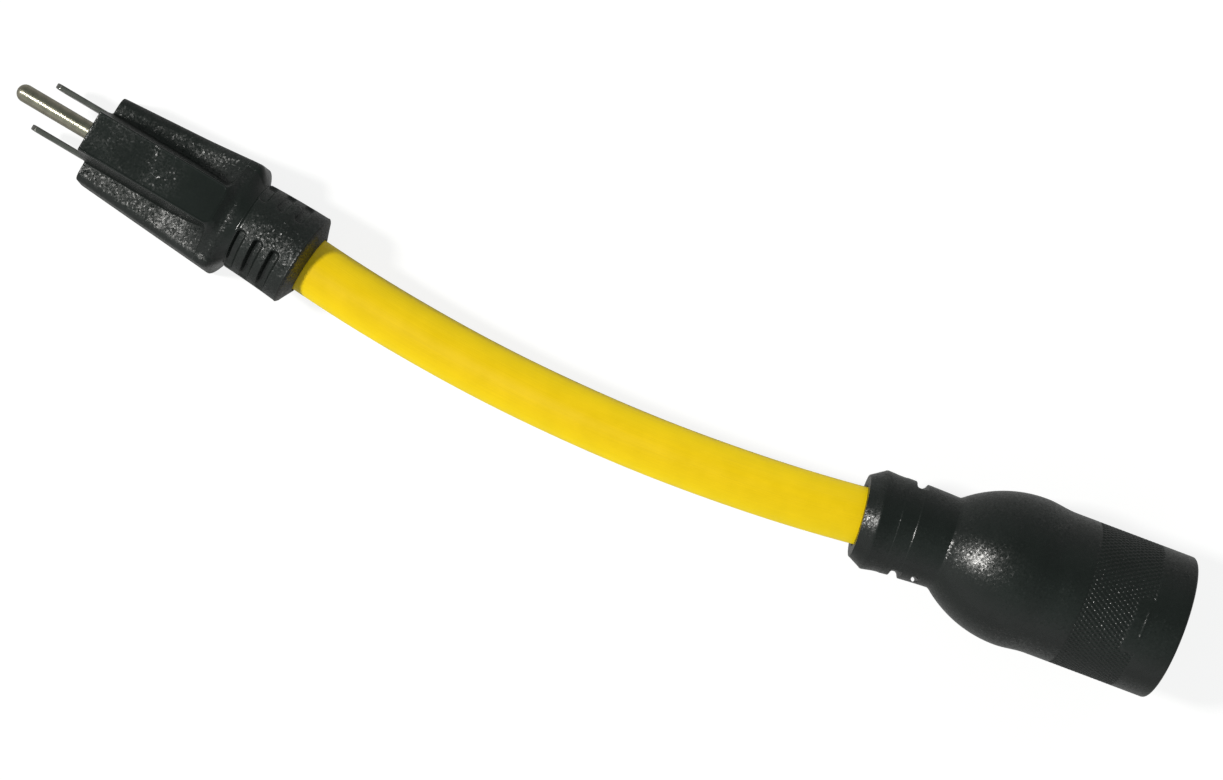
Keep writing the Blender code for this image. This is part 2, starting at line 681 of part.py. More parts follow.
def relief_cuts(cutters):
    """Cuts in the connector's strain relief: a notch in each side and a small hole near one edge."""
    x = from_face(NOTCH_AT)
    cuts = [sector(f"side_notch_{turn:.0f}", cutters, x - NOTCH_HALF_WIDTH, x + NOTCH_HALF_WIDTH,
                   NOTCH_R, OUTSIDE_R, turn, NOTCH_HALF) for turn in (0.0, 180.0)]
    x = from_face(EYELET_AT)
    cuts.append(block("eyelet", cutters, (x - EYELET_HALF_WIDTH, x + EYELET_HALF_WIDTH),
                      EYELET_SPAN, (-EYELET_HALF_LEN, EYELET_HALF_LEN)))
    return cuts


def contact_span(name):
    _, middle, half = TERMINALS[name]
    return middle, half


def make_contact(name, parts, cutters):
    """Two curved leaves joined at the rear, a neck through the cover and a crimp barrel."""
    middle, half = contact_span(name)
    reach = half - LEAF_EASE
    front = from_face(INSERT_RECESS + SLOT_DEPTH + GAP + CONTACT_LEN)
    tip = from_face(INSERT_RECESS + SLOT_DEPTH + GAP)
    inner = (SLOT_R - LEAF_GAP_HALF - LEAF_THICK, SLOT_R - LEAF_GAP_HALF)
    outer = (SLOT_R + LEAF_GAP_HALF, SLOT_R + LEAF_GAP_HALF + LEAF_THICK)
    contact = sector(f"contact_{name}", parts, front, tip, *inner, middle, reach)
    leaf = sector(f"leaf_{name}", cutters, front, tip, *outer, middle, reach)
    inset = WEB_LEN / 6
    web = sector(f"web_{name}", cutters, front - inset, front + WEB_LEN,
                 inner[0] + inset, outer[1] - inset, middle, half - WEB_EASE)
    rear, fore = contact_crimp()
    _, y, z = core_point(name, rear)
    neck = rod(f"neck_{name}", cutters, fore - OVER, front + WEB_LEN / 2, NECK_R, steps=12, y=y, z=z)
    barrel = rod(f"barrel_{name}", cutters, rear, fore, CRIMP_R, steps=16, y=y, z=z)
    contact = join(contact, web)
    contact = join(contact, leaf)
    contact = join(contact, neck)
    contact = join(contact, barrel)
    bore = rod(f"contact_bore_{name}", cutters, rear - OVER, rear + CRIMP_LEN - OVER,
               CRIMP_BORE_R, steps=10, y=y, z=z)
    return lay(cut(contact, bore), "brass")


def make_insert(parts, cutters):
    """The hard face: curved slots in front, wider pockets for the contacts behind."""
    front, rear = from_face(INSERT_RECESS), from_face(INSERT_LEN)
    insert = rod("connector_insert", parts, rear, front, INSERT_R, steps=40)
    cuts = []
    for name in TERMINALS:
        middle, half = contact_span(name)
        cuts.append(sector(f"face_slot_{name}", cutters, front - SLOT_DEPTH - OVER, front + OVER,
                           SLOT_R - SLOT_HALF, SLOT_R + SLOT_HALF, middle, half - FACE_SLOT_EASE))
        reach = LEAF_GAP_HALF + LEAF_THICK + GAP
        cuts.append(sector(f"contact_pocket_{name}", cutters, rear - OVER, front - SLOT_DEPTH,
                           SLOT_R - reach, SLOT_R + reach, middle, half))
    hook = block("ground_hook", cutters, (front - SLOT_DEPTH, front + OVER),
                 (-SLOT_HALF, SLOT_HALF), (GROUND_HOOK, SLOT_R))
    hook.data.transform(Matrix.Rotation(math.radians(GROUND_HOOK_TURN), 4, "X"))
    return lay(cut(insert, *cuts, hook), "black_hard_plastic")


def make_cover(parts, cutters):
    """The plate that closes the insert's rear, with a hole for each neck."""
    front = from_face(INSERT_LEN + GAP)
    cover = rod("insert_cover", parts, front - COVER_LEN, front, INSERT_R, steps=40)
    cuts = []
    for name in TERMINALS:
        _, y, z = core_point(name, contact_crimp()[1])
        cuts.append(rod(f"cover_hole_{name}", cutters, front - COVER_LEN - OVER, front + OVER,
                        CHAMBER_R, steps=14, y=y, z=z))
    return lay(cut(cover, *cuts), "black_hard_plastic")


# ---- whole adapter ----

def centre_on_floor(parts):
    """Stand the adapter on z = 0 with the middle of its box at x = y = 0."""
    corners = np.array([vertex.co for obj in parts.objects for vertex in obj.data.vertices])
    low, high = corners.min(axis=0), corners.max(axis=0)
    shift = Vector((-(low[0] + high[0]) / 2, -(low[1] + high[1]) / 2, -low[2]))
    for obj in parts.objects:
        obj.data.transform(Matrix.Translation(shift))


def main():
    clear_scene()
    parts = make_collection("power_adapter_dogbone")
    cutters = make_collection("cutters")
    make_plug_overmould(parts, cutters)
    make_bridge(parts, cutters)
    make_blade("blade_hot", -1, parts, cutters)
    make_blade("blade_neutral", 1, parts, cutters)
    make_ground_pin(parts, cutters)
    make_jacket(parts)
    for name, colour in (("hot", "black"), ("neutral", "white"), ("ground", "green")):
        make_core(name, colour, parts)
    for letter, angle in (("a", 30.0), ("b", 150.0), ("c", 270.0)):
        make_filler(letter, angle, parts)
    make_connector_overmould(parts, cutters)
    make_insert(parts, cutters)
    make_cover(parts, cutters)
    for name in TERMINALS:
        make_contact(name, parts, cutters)
    centre_on_floor(parts)


main()
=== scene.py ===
"""Looks of a power adapter dogbone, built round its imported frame.

Like the frame, every piece is drawn straight first, along +X, with its origin on the cord's axis
at the plug's face: x runs toward the connector, y is sideways, z is up. Lengths are in millimetres
until a piece is laid along the cord's route, which turns them into the frame's metres.
"""
import json
import math

import bmesh
import bpy
import numpy as np
from mathutils import Matrix, Vector


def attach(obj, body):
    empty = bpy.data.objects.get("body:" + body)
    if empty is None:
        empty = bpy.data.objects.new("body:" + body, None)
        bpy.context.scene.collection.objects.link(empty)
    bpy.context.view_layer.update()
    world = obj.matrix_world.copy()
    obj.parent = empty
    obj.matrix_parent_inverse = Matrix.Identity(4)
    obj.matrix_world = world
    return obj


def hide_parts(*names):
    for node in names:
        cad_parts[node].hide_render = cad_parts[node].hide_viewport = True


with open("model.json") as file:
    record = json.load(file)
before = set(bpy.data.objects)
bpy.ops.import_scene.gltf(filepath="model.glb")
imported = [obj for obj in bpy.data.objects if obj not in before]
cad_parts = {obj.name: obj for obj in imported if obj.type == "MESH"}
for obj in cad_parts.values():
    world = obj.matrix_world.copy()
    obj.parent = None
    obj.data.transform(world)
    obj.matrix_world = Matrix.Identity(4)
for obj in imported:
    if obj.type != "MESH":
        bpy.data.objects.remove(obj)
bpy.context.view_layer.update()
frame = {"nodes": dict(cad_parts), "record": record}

MM_PER_M = 1000.0
ROUTE_STATIONS = 1200
SHARP = 38.0                    # edges past this angle, in degrees, are shaded hard
GAP = 0.3                       # between touching pieces
CUT_PAST = 2.0                  # how far a cutter reaches past what it cuts

# Plug
PLUG_BODY_LEN = 41.0
PLUG_SHOULDER_LEN = 4.4
RELIEF_CORNER = 62.5            # where the relief turns in toward the cord
PLUG_LEN = 64.6
RELIEF_AT = PLUG_BODY_LEN + PLUG_SHOULDER_LEN
AXIS_HEIGHT = 13.6
FACE_HALF_WIDTH = 12.95
FACE_LEAN = 0.8                 # how far the top of the face stands forward of its foot
FACE_LEAN_FROM = 1.5
FACE_LEAN_RISE = 4.0
FACE_LEAN_REACH = 6.0           # how far behind the face the lean is felt
FACE_EDGE = 0.35
SHOULDER_HALF_WIDTH = 16.0
SIDE_LEAN = 0.5
BACK_CORNER = 2.0
WING_CORNER = 2.6
WING_TOP = 0.5
WING_CLIMB = 6.5
WING_CLIMB_START = 25.0
WING_SLOPE = 0.42
WING_EASE = 0.7                 # softness of the two bends of the climb
WING_DRAFT = 0.1                # fall of the wings toward their edges
CROWN = 4.1                     # rise of the top behind the ridge, at its middle
CROWN_START = 31.0
CROWN_CLIMB = 10.0
RIDGE_TOP = 12.6
RIDGE_HALF_TOP = 5.75
RIDGE_FLANK = 1.6
RIDGE_LEN = 38.6
RIDGE_CORNER = 2.3
RIDGE_REAR_SLOPE = 1.0
RIDGE_REAR = 3.0                # the flanks start to ease into the rear slope this far before its end
RIDGE_REAR_BLEND = 2.5
RIDGE_EDGE = 1.3                # softness of its upper edge
RIDGE_FOOT = 1.9                # softness of the hollow between ridge and wings
RIDGE_BEAD = 0.09               # thin raised line along the ridge's upper edge
RIDGE_BEAD_INSET = 0.35
RIDGE_BEAD_WIDTH = 0.16
RIDGE_DENSE = 4.0               # last stretch of the ridge, drawn with closer stations
RELIEF_FRONT_R = 12.3
RELIEF_END_R = 13.05
RELIEF_FOLD = 1.0               # depth of the fold where the relief leaves the shoulder
RELIEF_FOLD_AHEAD = 0.7
RELIEF_INSIDE = 1.2             # how far the relief starts inside the shoulder
RELIEF_BORE = 12.0              # depth of the hole that the cord leaves by
RELIEF_MOUTH_R = 8.3
RELIEF_SLOT_AT = 46.6
RELIEF_SLOT_PITCH = 5.2
RELIEF_SLOT_ROWS = 3
RELIEF_SLOT_HALF = 1.15         # half of a slot's width along the relief
RELIEF_SLOT_ROUND = 0.9
RELIEF_SLOT_WALL = 0.9
RELIEF_SLOT_SHALLOW = 0.25      # share of its depth that a fading slot keeps at its end
RELIEF_SLOT_FADE = 5.0
# Middle and half angle in degrees, and depth, of the slots in each row
RELIEF_SLOTS = ((32.0, 22.0, 0.8), (135.0, 34.0, 1.7), (225.0, 34.0, 1.7), (328.0, 22.0, 0.8))
RELIEF_EDGE_ROOM = 0.5          # the slotted part is drawn up to this far before the corner
RELIEF_EDGE_SPAN = 0.6          # length over which the corner is rounded
RELIEF_EDGE_DROP = 0.22
RELIEF_EDGE_SLOPE = 0.55

# Blades, ground pin and their carrier
PITCH = 12.7
BLADE_Z = -4.9
PIN_Z = 7.0
BLADE_LEN = 17.2
BLADE_HEIGHT = 6.35
BLADE_THICK = 1.5
BLADE_CHAMFER = 1.6
BLADE_CHAMFER_BULGE = (0.45, 0.35)
BLADE_EDGE = 0.28
BLADE_HOLE_AT = 4.0             # from the blade's tip
BLADE_HOLE_R = 1.6
PIN_LEN = 23.17
PIN_R = 2.37
# Neck and crimp barrel of the pin: distance behind the carrier, and radius
PIN_TAIL = ((-0.2, 1.5), (1.6, 1.4), (2.0, 2.5), (10.0, 2.5))
HOLE_CLEARANCE = 0.12
BRIDGE_LEN = 9.0
BRIDGE_WIDE = 9.9
BRIDGE_NARROW = 4.0
BRIDGE_LOW = -11.0
BRIDGE_STEP = -0.8
BRIDGE_HIGH = 10.6
BRIDGE_EDGE = 0.3

# Cord
CORD_R = 7.7
CORD_SKIN = 0.04                # the drawn jacket stays this far inside the frame's
CORD_LOBES = 0.02               # height of the three cores' traces in the jacket
CORD_WAVER = 0.015
CORD_LEN = 158.8
CORD_START = PLUG_LEN
CORD_END = PLUG_LEN + CORD_LEN

# Connector, by distance from its face
CONN_LEN = 85.9
CONN_AXIS_HEIGHT = 20.25
FACE = CORD_END + CONN_LEN
BARREL_R = 19.44
BULB_R = 20.24
BULB_AT = 41.5
BULB_ARC_R = 32.5
BULB_REAR = 62.4
BARREL_LEN = 33.0
SLEEVE_AT = 63.4
SLEEVE_R = 12.5
SLEEVE_END_R = 13.3
CHAMFER_AT = 82.0
CHAMFER_R = 11.0
CHAMFER_EDGE = 0.3
RIM_ROUND = 0.8
MOUTH_EDGE = 0.35
NOTCH_AT = 72.9
NOTCH_HALF = 1.55
NOTCH_DEPTH = 1.4
NOTCH_BOWL = 3.2                # power of the notch's profile: higher is squarer
NOTCH_REACH = 30.0              # degrees above and below the side
NOTCH_FADE = 5.0                # degrees
STEPS = ((72.2, 0.16), (76.7, 0.09))    # small steps down toward the cord: place and drop
STEP_EDGE = 0.25
STEPS_FADE = 4.0                # the steps die out this far before the chamfer
EYELET_AT = 67.3                # small hole through the edge of the relief
EYELET_Y = -11.65
EYELET_HALF = (1.15, 0.72)
EYELET_REACH = 9.0
KNURL_FROM = 9.3
KNURL_TO = 27.0
KNURL_DEPTH = 0.22
KNURL_STARTS = 94
KNURL_SLANT = 32.0              # degrees
KNURL_CROWDING = 2.2            # higher leaves narrower grooves
KNURL_FADE = 0.5
PATCH_TURN = 100.0              # plain patch in the knurl: degrees round the barrel, and its shape
PATCH_HALF = (4.2, 7.5)
PATCH_ROUND = 1.5
PATCH_EDGE = 0.8
DASH_TURN = 97.0                # short rib on the patch
DASH_AT = 10.1
DASH_HALF = (0.3, 3.9)
DASH_EDGE = 0.25
DASH_HEIGHT = 0.12
INSERT_R = 16.9
INSERT_LEN = 28.0
INSERT_RECESS = 0.5
INSERT_EDGE = 0.25
SLOT_R = 12.4
SLOT_HALF = 1.1
SLOT_DEPTH = 8.0
SLOTS = ((90.0, 20.5), (210.0, 20.5), (330.0, 25.5))    # middle and half angle, degrees
HOOK_INNER_R = 8.6              # the inward hook at the end of one slot
HOOK_TURN = 16.9                # degrees
HOOK_OFFSET = 0.1               # keeps the hook's floor off the slot's

# Route of the cord
PLUG_HEADING = -5.5
CORD_START_HEADING = -9.2
CORD_END_HEADING = 10.0
CONN_HEADING = 4.45
JACKET_START = 46.0
JACKET_END = FACE - 62.0
RISE = CONN_AXIS_HEIGHT - AXIS_HEIGHT


# ---- route ----

def build_route():
    """The cord's axis as stations, points, and the heading and pitch at each of them."""
    along = np.linspace(0.0, FACE, ROUTE_STATIONS)
    stations = [0.0, RELIEF_AT, RELIEF_CORNER, CORD_END, FACE - SLEEVE_AT, FACE]
    turns = [PLUG_HEADING, PLUG_HEADING, CORD_START_HEADING,
             CORD_END_HEADING, CONN_HEADING, CONN_HEADING]
    heading = np.radians(np.interp(along, stations, turns))
    free = np.clip((along - CORD_START) / CORD_LEN, 0.0, 1.0)
    pitch = 2 * RISE / CORD_LEN * np.sin(np.pi * free) ** 2
    tangent = np.stack([np.cos(pitch) * np.cos(heading),
                        np.cos(pitch) * np.sin(heading), np.sin(pitch)], axis=1)
    middle = (tangent[1:] + tangent[:-1]) / 2 * (along[1] - along[0])
    points = np.vstack([[0.0, 0.0, 0.0], np.cumsum(middle, axis=0)])
    return along, points, heading, pitch


ROUTE = build_route()


def on_route(points):
    """Points of the straight adapter, laid along the route, in millimetres from the plug's face."""
    along, line, heading, pitch = ROUTE
    x, y, z = np.asarray(points, float).reshape(-1, 3).T
    inside = np.clip(x, 0.0, FACE)
    base = np.stack([np.interp(inside, along, line[:, axis]) for axis in range(3)], axis=1)
    h, p = np.interp(inside, along, heading), np.interp(inside, along, pitch)
    tangent = np.stack([np.cos(p) * np.cos(h), np.cos(p) * np.sin(h), np.sin(p)], axis=1)
    side = np.stack([-np.sin(h), np.cos(h), np.zeros_like(h)], axis=1)
    up = np.cross(tangent, side)
    return base + tangent * (x - inside)[:, None] + side * y[:, None] + up * z[:, None]


MOUNTS = {mount["name"]: mount["pos_m"] for mount in frame["record"]["mounts"]}
SHIFT = np.array(MOUNTS["plug_face"]) * MM_PER_M - on_route([(0.0, 0.0, BLADE_Z)])[0]


def lay(points):
    """Points of the straight adapter as places in the frame, in metres."""
    return (on_route(points) + SHIFT) / MM_PER_M


# ---- shape helpers ----

def smooth(t):
    """A ramp from 0 to 1 that starts and ends level."""
    t = np.clip(t, 0.0, 1.0)
    return t * t * (3 - 2 * t)


def soft_min(a, b, k):
    """The lower of two values, blended where they come within k of each other."""
    h = np.clip(0.5 + (b - a) / (2 * k), 0.0, 1.0)
    return b + (a - b) * h - k * h * (1 - h)


def soft_max(a, b, k):
    """The higher of two values, blended where they come within k of each other."""
    return -soft_min(-a, -b, k)


def arc_from(turn, middle, radius):
    """Distance round a ring of some radius from an angle in degrees, negative on one side of it."""
    return (np.mod(turn - math.radians(middle) + np.pi, 2 * np.pi) - np.pi) * radius


def rounded_box(u, v, half_u, half_v, radius):
    """Signed distance to a rounded rectangle, negative inside it."""
    du, dv = np.abs(u) - half_u + radius, np.abs(v) - half_v + radius
    return np.hypot(np.maximum(du, 0), np.maximum(dv, 0)) + np.minimum(np.maximum(du, dv), 0) - radius


def placed(name, data):
    """A new object of some data, in the scene."""
    obj = bpy.data.objects.new(name, data)
    bpy.context.scene.collection.objects.link(obj)
    return obj


def shaded(mesh, sharp=SHARP):
    """Smooth shading, with hard edges past an angle in degrees."""
    mesh.shade_smooth()
    mesh.set_sharp_from_angle(angle=math.radians(sharp))


def around(count):
    """Angles of the points of a ring."""
    return np.linspace(0, 2 * np.pi, count, endpoint=False)


def round_ring(x, radius, turn, y=0.0, z=0.0):
    """A ring of points at x. Its radius may differ from angle to angle."""
    return np.stack([np.full_like(turn, x), y + radius * np.cos(turn), z + radius * np.sin(turn)], axis=1)


def skin(name, rings, sharp=SHARP):
    """A closed surface over rings of points, each with a flat cap at both ends."""
    rings = np.asarray(rings)
    count, sides = rings.shape[:2]
    start = np.arange(count - 1)[:, None] * sides
    here = np.arange(sides)[None, :]
    after = (here + 1) % sides
    quads = np.stack([start + here, start + after, start + sides + after, start + sides + here], axis=-1)
    faces = quads.reshape(-1, 4).tolist()
    faces.append(list(range(sides)))
    faces.append(list(range((count - 1) * sides, count * sides)))
    mesh = bpy.data.meshes.new(name)
    mesh.from_pydata(lay(rings.reshape(-1, 3)).tolist(), [], faces)
    bm = bmesh.new()
    bm.from_mesh(mesh)
    bmesh.ops.recalc_face_normals(bm, faces=bm.faces)
    bm.to_mesh(mesh)
    bm.free()
    shaded(mesh, sharp)
    return placed(name, mesh)


def joined(name, *objs):
    """Several skins as one piece."""
    bm = bmesh.new()
    for obj in objs:
        bm.from_mesh(obj.data)
        bpy.data.objects.remove(obj, do_unlink=True)
    mesh = bpy.data.meshes.new(name)
    bm.to_mesh(mesh)
    bm.free()
    shaded(mesh)
    return placed(name, mesh)


def straight_to_route(obj):
    """Lay an object drawn in millimetres along the route."""
    mesh = obj.data
    points = np.empty(len(mesh.vertices) * 3)
    mesh.vertices.foreach_get("co", points)
    mesh.vertices.foreach_set("co", lay(points.reshape(-1, 3)).ravel())
    mesh.update()
    return obj


def applied(obj):
    """The object with its modifiers made part of its mesh."""
    depsgraph = bpy.context.evaluated_depsgraph_get()
    mesh = bpy.data.meshes.new_from_object(obj.evaluated_get(depsgraph))
    obj.modifiers.clear()
    obj.data = mesh
    return obj


def cut(obj, *cutters):
    """Take the cutters' shapes out of an object, and the cutters out of the scene."""
    for cutter in cutters:
        modifier = obj.modifiers.new(cutter.name, "BOOLEAN")
        modifier.operation = "DIFFERENCE"
        modifier.solver = "EXACT"
        modifier.object = cutter
    applied(obj)
    for cutter in cutters:
        bpy.data.objects.remove(cutter, do_unlink=True)
    return obj


def bevelled(obj, width, segments=3, angle=35.0):
    """Round the edges that are sharper than an angle in degrees."""
    modifier = obj.modifiers.new("Bevel", "BEVEL")
    modifier.width = width
    modifier.segments = segments
    modifier.limit_method = "ANGLE"
    modifier.angle_limit = math.radians(angle)
    return applied(obj)


def solid(name, outline, low, high, axis="X"):
    """A flat outline given thickness between two planes, drawn in millimetres.

    An outline for axis X holds (y, z) points, and one for axis Y holds (x, z) points."""
    bm = bmesh.new()
    if axis == "X":
        points = [(low, a, b) for a, b in outline]
        step = (high - low, 0.0, 0.0)
    else:
        points = [(a, low, b) for a, b in outline]
        step = (0.0, high - low, 0.0)
    face = bm.faces.new([bm.verts.new(point) for point in points])
    moved = bmesh.ops.extrude_face_region(bm, geom=[face])["geom"]
    bmesh.ops.translate(bm, vec=step, verts=[v for v in moved if isinstance(v, bmesh.types.BMVert)])
    bmesh.ops.recalc_face_normals(bm, faces=bm.faces)
    mesh = bpy.data.meshes.new(name)
    bm.to_mesh(mesh)
    bm.free()
    return placed(name, mesh)


def circle(radius, count, y=0.0, z=0.0):
    """Outline of a circle, as a list of points."""
    turn = np.linspace(0.0, 2 * np.pi, count, endpoint=False)
    return [(y + radius * math.cos(a), z + radius * math.sin(a)) for a in turn]


def arc_slot(middle, half, radius, half_width, steps=28, end_steps=8):
    """Outline of a curved slot with round ends, as (y, z) points."""
    centre, reach = math.radians(middle), math.radians(half)
    points = []
    for side, order in ((1, 1), (-1, -1)):
        r = radius + side * half_width
        turn = np.linspace(centre - order * reach, centre + order * reach, steps)
        points += [(r * math.cos(a), r * math.sin(a)) for a in turn]
        end = centre + order * reach
        for k in range(1, end_steps):
            a = end + (0 if order == 1 else math.pi) + math.pi * k / end_steps
            points.append((radius * math.cos(end) + half_width * math.cos(a),
                           radius * math.sin(end) + half_width * math.sin(a)))
    return points


# ---- materials ----
# Sizes, scales and depths here are in the frame's metres.

def new_material(name):
    """An empty material, with its nodes, its links and its surface shader."""
    made = bpy.data.materials.new(name)
    made.use_nodes = True
    nodes, links = made.node_tree.nodes, made.node_tree.links
    return made, nodes, links, nodes["Principled BSDF"]


def texture(nodes, links, kind, source, **values):
    """A texture node, read at the places that a socket gives."""
    made = nodes.new(kind)
    for key, value in values.items():
        made.inputs[key].default_value = value
    links.new(source, made.inputs["Vector"])
    return made


def noise(nodes, links, source, scale, detail=2.0):
    """Cloudy values round 0.5."""
    made = texture(nodes, links, "ShaderNodeTexNoise", source, Scale=scale, Detail=detail, Roughness=0.55)
    return made.outputs["Fac"]


def stretched(nodes, links, source, scale):
    """Places with each axis scaled by its own factor, so that a texture is drawn out along one."""
    made = nodes.new("ShaderNodeMapping")
    made.inputs["Scale"].default_value = scale
    links.new(source, made.inputs["Vector"])
    return made.outputs["Vector"]


def remap(nodes, links, source, low, high, to_low, to_high):
    """A value's range stretched to another one, and held at its ends."""
    made = nodes.new("ShaderNodeMapRange")
    for key, value in (("From Min", low), ("From Max", high), ("To Min", to_low), ("To Max", to_high)):
        made.inputs[key].default_value = value
    links.new(source, made.inputs["Value"])
    return made.outputs["Result"]


def blend_colour(nodes, links, factor, first, second):
    """The first colour where the factor is 0, and the second where it is 1."""
    made = nodes.new("ShaderNodeMix")
    made.data_type = "RGBA"
    made.inputs["A"].default_value = (*first, 1.0)
    made.inputs["B"].default_value = (*second, 1.0)
    links.new(factor, made.inputs["Factor"])
    return made.outputs["Result"]


def bump(nodes, links, height, distance, below=None):
    """A relief of some depth in metres, on top of the normal below it."""
    made = nodes.new("ShaderNodeBump")
    made.inputs["Distance"].default_value = distance
    links.new(height, made.inputs["Height"])
    if below is not None:
        links.new(below, made.inputs["Normal"])
    return made.outputs["Normal"]


def calculated(nodes, links, kind, operation, values):
    """A maths node of some kind, given sockets to link or the values to use."""
    made = nodes.new(kind)
    made.operation = operation
    for index, value in enumerate(values):
        if isinstance(value, bpy.types.NodeSocket):
            links.new(value, made.inputs[index])
        else:
            made.inputs[index].default_value = value
    return made


def maths(nodes, links, operation, *values):
    """The result of an operation on numbers."""
    return calculated(nodes, links, "ShaderNodeMath", operation, values).outputs["Value"]


def vector_maths(nodes, links, operation, *values):
    """The result of an operation on vectors."""
    return calculated(nodes, links, "ShaderNodeVectorMath", operation, values).outputs["Vector"]


def ridge_grain(nodes, links, place, along, height):
    """Share of the grain that is left on top of the ridge: hands polish it, most of all its rear."""
    x, _, z = lay([(RIDGE_LEN - 1.0, 0.0, RIDGE_TOP - 2.5)])[0]
    before = remap(nodes, links, along, x, x + 0.002, 1.0, 0.0)
    above = remap(nodes, links, height, z, z + 0.0015, 0.0, 1.0)
    rear = remap(nodes, links, along, x - 0.014, x - 0.009, 0.0, -0.5)
    patches = remap(nodes, links, noise(nodes, links, place, 150.0, 3.0), 0.4, 0.64, -0.76, -0.42)
    rubbed = maths(nodes, links, "MAXIMUM", maths(nodes, links, "ADD", patches, rear), -0.97)
    on_ridge = maths(nodes, links, "MULTIPLY", before, above)
    return maths(nodes, links, "MULTIPLY_ADD", on_ridge, rubbed, 1.0)


def shoulder_grain(nodes, links, along):
    """Share of the grain that is left on the shoulder between the plug's body and its relief."""
    start, end = lay([(PLUG_BODY_LEN, 0.0, 0.0), (RELIEF_AT, 0.0, 0.0)])[:, 0]
    behind = remap(nodes, links, along, start, start + 0.002, 0.0, 1.0)
    ahead = remap(nodes, links, along, end, end + 0.0015, 1.0, 0.0)
    return remap(nodes, links, maths(nodes, links, "MULTIPLY", behind, ahead), 0.0, 1.0, 1.0, 0.25)


def handled(nodes, links, place):
    """How much of the plug's grain is left from place to place."""
    axes = nodes.new("ShaderNodeSeparateXYZ")
    links.new(place, axes.inputs["Vector"])
    on_ridge = ridge_grain(nodes, links, place, axes.outputs["X"], axes.outputs["Z"])
    return maths(nodes, links, "MULTIPLY", on_ridge, shoulder_grain(nodes, links, axes.outputs["X"]))


def grain_facets(nodes, links, place, size, tilt, keep):
    """The surface's normal with a random lean in each grain: few grains lean far, and those glint."""
    cells = texture(nodes, links, "ShaderNodeTexVoronoi", place, Scale=1.0 / size)
    spread = vector_maths(nodes, links, "MULTIPLY_ADD", cells.outputs["Color"], (2.0,) * 3, (-1.0,) * 3)
    square = vector_maths(nodes, links, "MULTIPLY", spread, spread)
    lean = vector_maths(nodes, links, "MULTIPLY", square, spread)
    worn = remap(nodes, links, noise(nodes, links, place, 70.0, 2.0), 0.42, 0.6, 0.55 * tilt, tilt)
    lean = vector_maths(nodes, links, "MULTIPLY", lean, worn)
    if keep is not None:
        lean = vector_maths(nodes, links, "MULTIPLY", lean, keep)
    normal = nodes.new("ShaderNodeNewGeometry").outputs["Normal"]
    return vector_maths(nodes, links, "NORMALIZE", vector_maths(nodes, links, "ADD", lean, normal))


def moulded_plastic(name, dark, light, rough, grain, tilt, depth, polished=False):
    """Textured moulded plastic: glinting grain of a size in metres, mottled colour and gloss."""
    made, nodes, links, shader = new_material(name)
    place = nodes.new("ShaderNodeTexCoord").outputs["Object"]
    clouds = noise(nodes, links, place, 90.0, 4.0)
    links.new(blend_colour(nodes, links, remap(nodes, links, clouds, 0.35, 0.65, 0.0, 1.0), dark, light),
              shader.inputs["Base Color"])
    patches = noise(nodes, links, place, 0.7 / grain, 3.0)
    gloss = remap(nodes, links, patches, 0.3, 0.7, rough[0], rough[1])
    pebbles = noise(nodes, links, place, 1.0 / grain, 3.0)
    keep = None
    if polished:
        keep = handled(nodes, links, place)
        gloss = maths(nodes, links, "MULTIPLY", gloss, remap(nodes, links, keep, 0.0, 1.0, 0.4, 1.0))
        pebbles = maths(nodes, links, "MULTIPLY", pebbles, keep)
    links.new(gloss, shader.inputs["Roughness"])
    facets = grain_facets(nodes, links, place, grain, tilt, keep)
    links.new(bump(nodes, links, pebbles, depth, below=facets), shader.inputs["Normal"])
    return made


def jacket_plastic(name):
    """Extruded satin jacket: faint streaks along the cord, slight mottle and a soft sheen."""
    made, nodes, links, shader = new_material(name)
    wrapped = nodes.new("ShaderNodeUVMap").outputs["UV"]
    streaks = noise(nodes, links, stretched(nodes, links, wrapped, (6.0, 150.0, 1.0)), 1.0, 3.0)
    coords = nodes.new("ShaderNodeTexCoord").outputs["Object"]
    mottle = noise(nodes, links, coords, 140.0, 4.0)
    half_mottle = maths(nodes, links, "MULTIPLY", mottle, 0.5)
    tone = maths(nodes, links, "MULTIPLY_ADD", streaks, 0.5, half_mottle)
    links.new(blend_colour(nodes, links, remap(nodes, links, tone, 0.38, 0.62, 0.0, 1.0),
                           YELLOW_DEEP, YELLOW_BRIGHT), shader.inputs["Base Color"])
    shader.inputs["Specular IOR Level"].default_value = 0.25
    shader.inputs["Diffuse Roughness"].default_value = 1.0
    links.new(remap(nodes, links, mottle, 0.3, 0.7, 0.36, 0.5), shader.inputs["Roughness"])
    grain = noise(nodes, links, coords, 2200.0, 2.0)
    first = bump(nodes, links, streaks, 0.00005)
    links.new(bump(nodes, links, grain, 0.000012, below=first), shader.inputs["Normal"])
    return made


